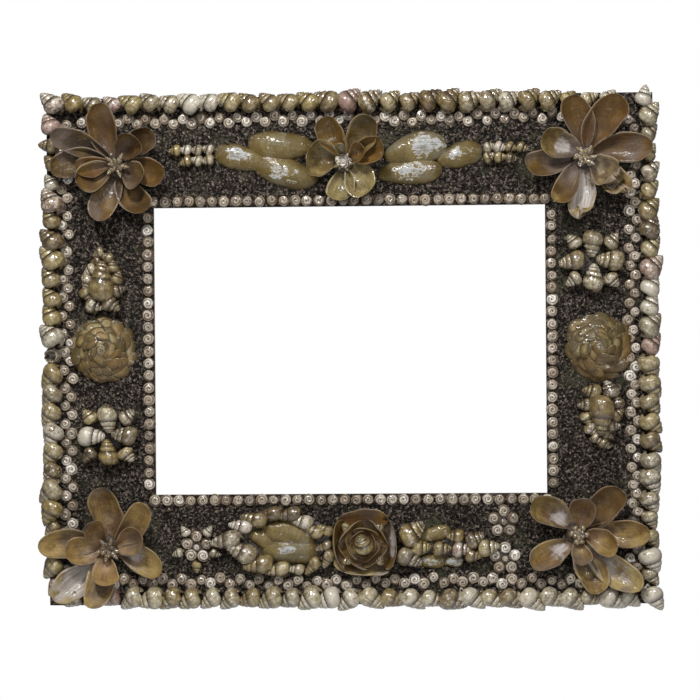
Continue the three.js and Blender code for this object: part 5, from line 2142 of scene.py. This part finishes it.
@dataclass
class Studio:
    """Pale floor, soft lights and the camera of the photograph."""

    distance: float = 1.4
    view_width: float = 0.558
    yaw: float = 1.7
    roll: float = 0.45
    aim: tuple[float, float, float] = (0.0002, -0.0145, -0.159)
    floor_drop: float = 0.67
    floor_half: float = 1.1

    def build(self) -> None:
        """Sets up floor, lights, surroundings and camera."""
        self._floor()
        self._surroundings()
        for name, place, size, power in (
            ("key", (-0.3, -1.0, 0.8), 0.22, 20.0),
            ("glint", (0.5, -0.95, 0.55), 0.16, 5.0),
            ("fill", (0.2, -1.8, -0.1), 0.9, 7.0),
            ("back", (0.4, 1.3, 0.5), 0.8, 9.0),
        ):
            self._light(name, Vector(place), size, power)
        self._camera()

    def _floor(self) -> None:
        """A level sheet well below the frame, which hangs."""
        half = self.floor_half
        mesh = bpy.data.meshes.new("studio_floor")
        corners = [(-half, -half, -self.floor_drop), (half, -half, -self.floor_drop),
                   (half, half, -self.floor_drop), (-half, half, -self.floor_drop)]
        mesh.from_pydata(corners, [], [(0, 1, 2, 3)])
        mesh.materials.append(FloorFinish().material())
        floor = bpy.data.objects.new("studio_floor", mesh)
        bpy.context.scene.collection.objects.link(floor)

    def _surroundings(self) -> None:
        """White behind the object for the camera, and a dimmer even light for the shells."""
        scene = bpy.context.scene
        scene.view_settings.view_transform = "Standard"
        world = bpy.data.worlds.new("studio")
        world.use_nodes = True
        tree = world.node_tree
        glow = tree.nodes["Background"]
        glow.inputs["Color"].default_value = (0.95, 0.97, 1.0, 1.0)
        glow.inputs["Strength"].default_value = 0.15
        white = tree.nodes.new("ShaderNodeBackground")
        white.inputs["Color"].default_value = (1.0, 1.0, 1.0, 1.0)
        seen = tree.nodes.new("ShaderNodeLightPath")
        blend = tree.nodes.new("ShaderNodeMixShader")
        tree.links.new(seen.outputs["Is Camera Ray"], blend.inputs[0])
        tree.links.new(glow.outputs[0], blend.inputs[1])
        tree.links.new(white.outputs[0], blend.inputs[2])
        tree.links.new(blend.outputs[0], tree.nodes["World Output"].inputs[0])
        scene.world = world

    def _light(self, name: str, place: Vector, size: float, power: float) -> None:
        """Hangs one square soft light that looks at the frame's middle.

        Args:
            name: Its name.
            place: Where it hangs.
            size: Its side in metres.
            power: Its power in watts.
        """
        lamp = bpy.data.lights.new(name, "AREA")
        lamp.size = size
        lamp.energy = power
        holder = bpy.data.objects.new(name, lamp)
        holder.location = place
        holder.rotation_euler = (Vector(self.aim) - place).to_track_quat("-Z", "Y").to_euler()
        bpy.context.scene.collection.objects.link(holder)

    def _camera(self) -> None:
        """Looks straight at the frame from a little to its right, rolled as the photograph is."""
        lens = bpy.data.cameras.new("camera")
        lens.sensor_width = 36.0
        lens.lens = 36.0 * self.distance / self.view_width
        camera = bpy.data.objects.new("camera", lens)
        aim = Vector(self.aim)
        turn = math.radians(self.yaw)
        camera.location = aim + Vector((math.sin(turn), -math.cos(turn), 0.0)) * self.distance
        look = (aim - camera.location).to_track_quat("-Z", "Y").to_matrix()
        camera.rotation_euler = (look @ Matrix.Rotation(math.radians(-self.roll), 3, "Z")).to_euler()
        bpy.context.scene.collection.objects.link(camera)
        bpy.context.scene.camera = camera


def main() -> None:
    """Loads the frame, builds every sub-assembly in order and sets up the studio."""
    logging.basicConfig(level=logging.INFO, format="%(name)s: %(message)s")
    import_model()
    shop = Workshop()
    for assembly in (WoodenFrame, GritCoat, OuterRows, ButtonBorders, CornerFlowers, TopSpray, BottomSpray,
                     Medallions):
        assembly(shop).build()
    Studio().build()


if __name__ == "__main__":
    main()
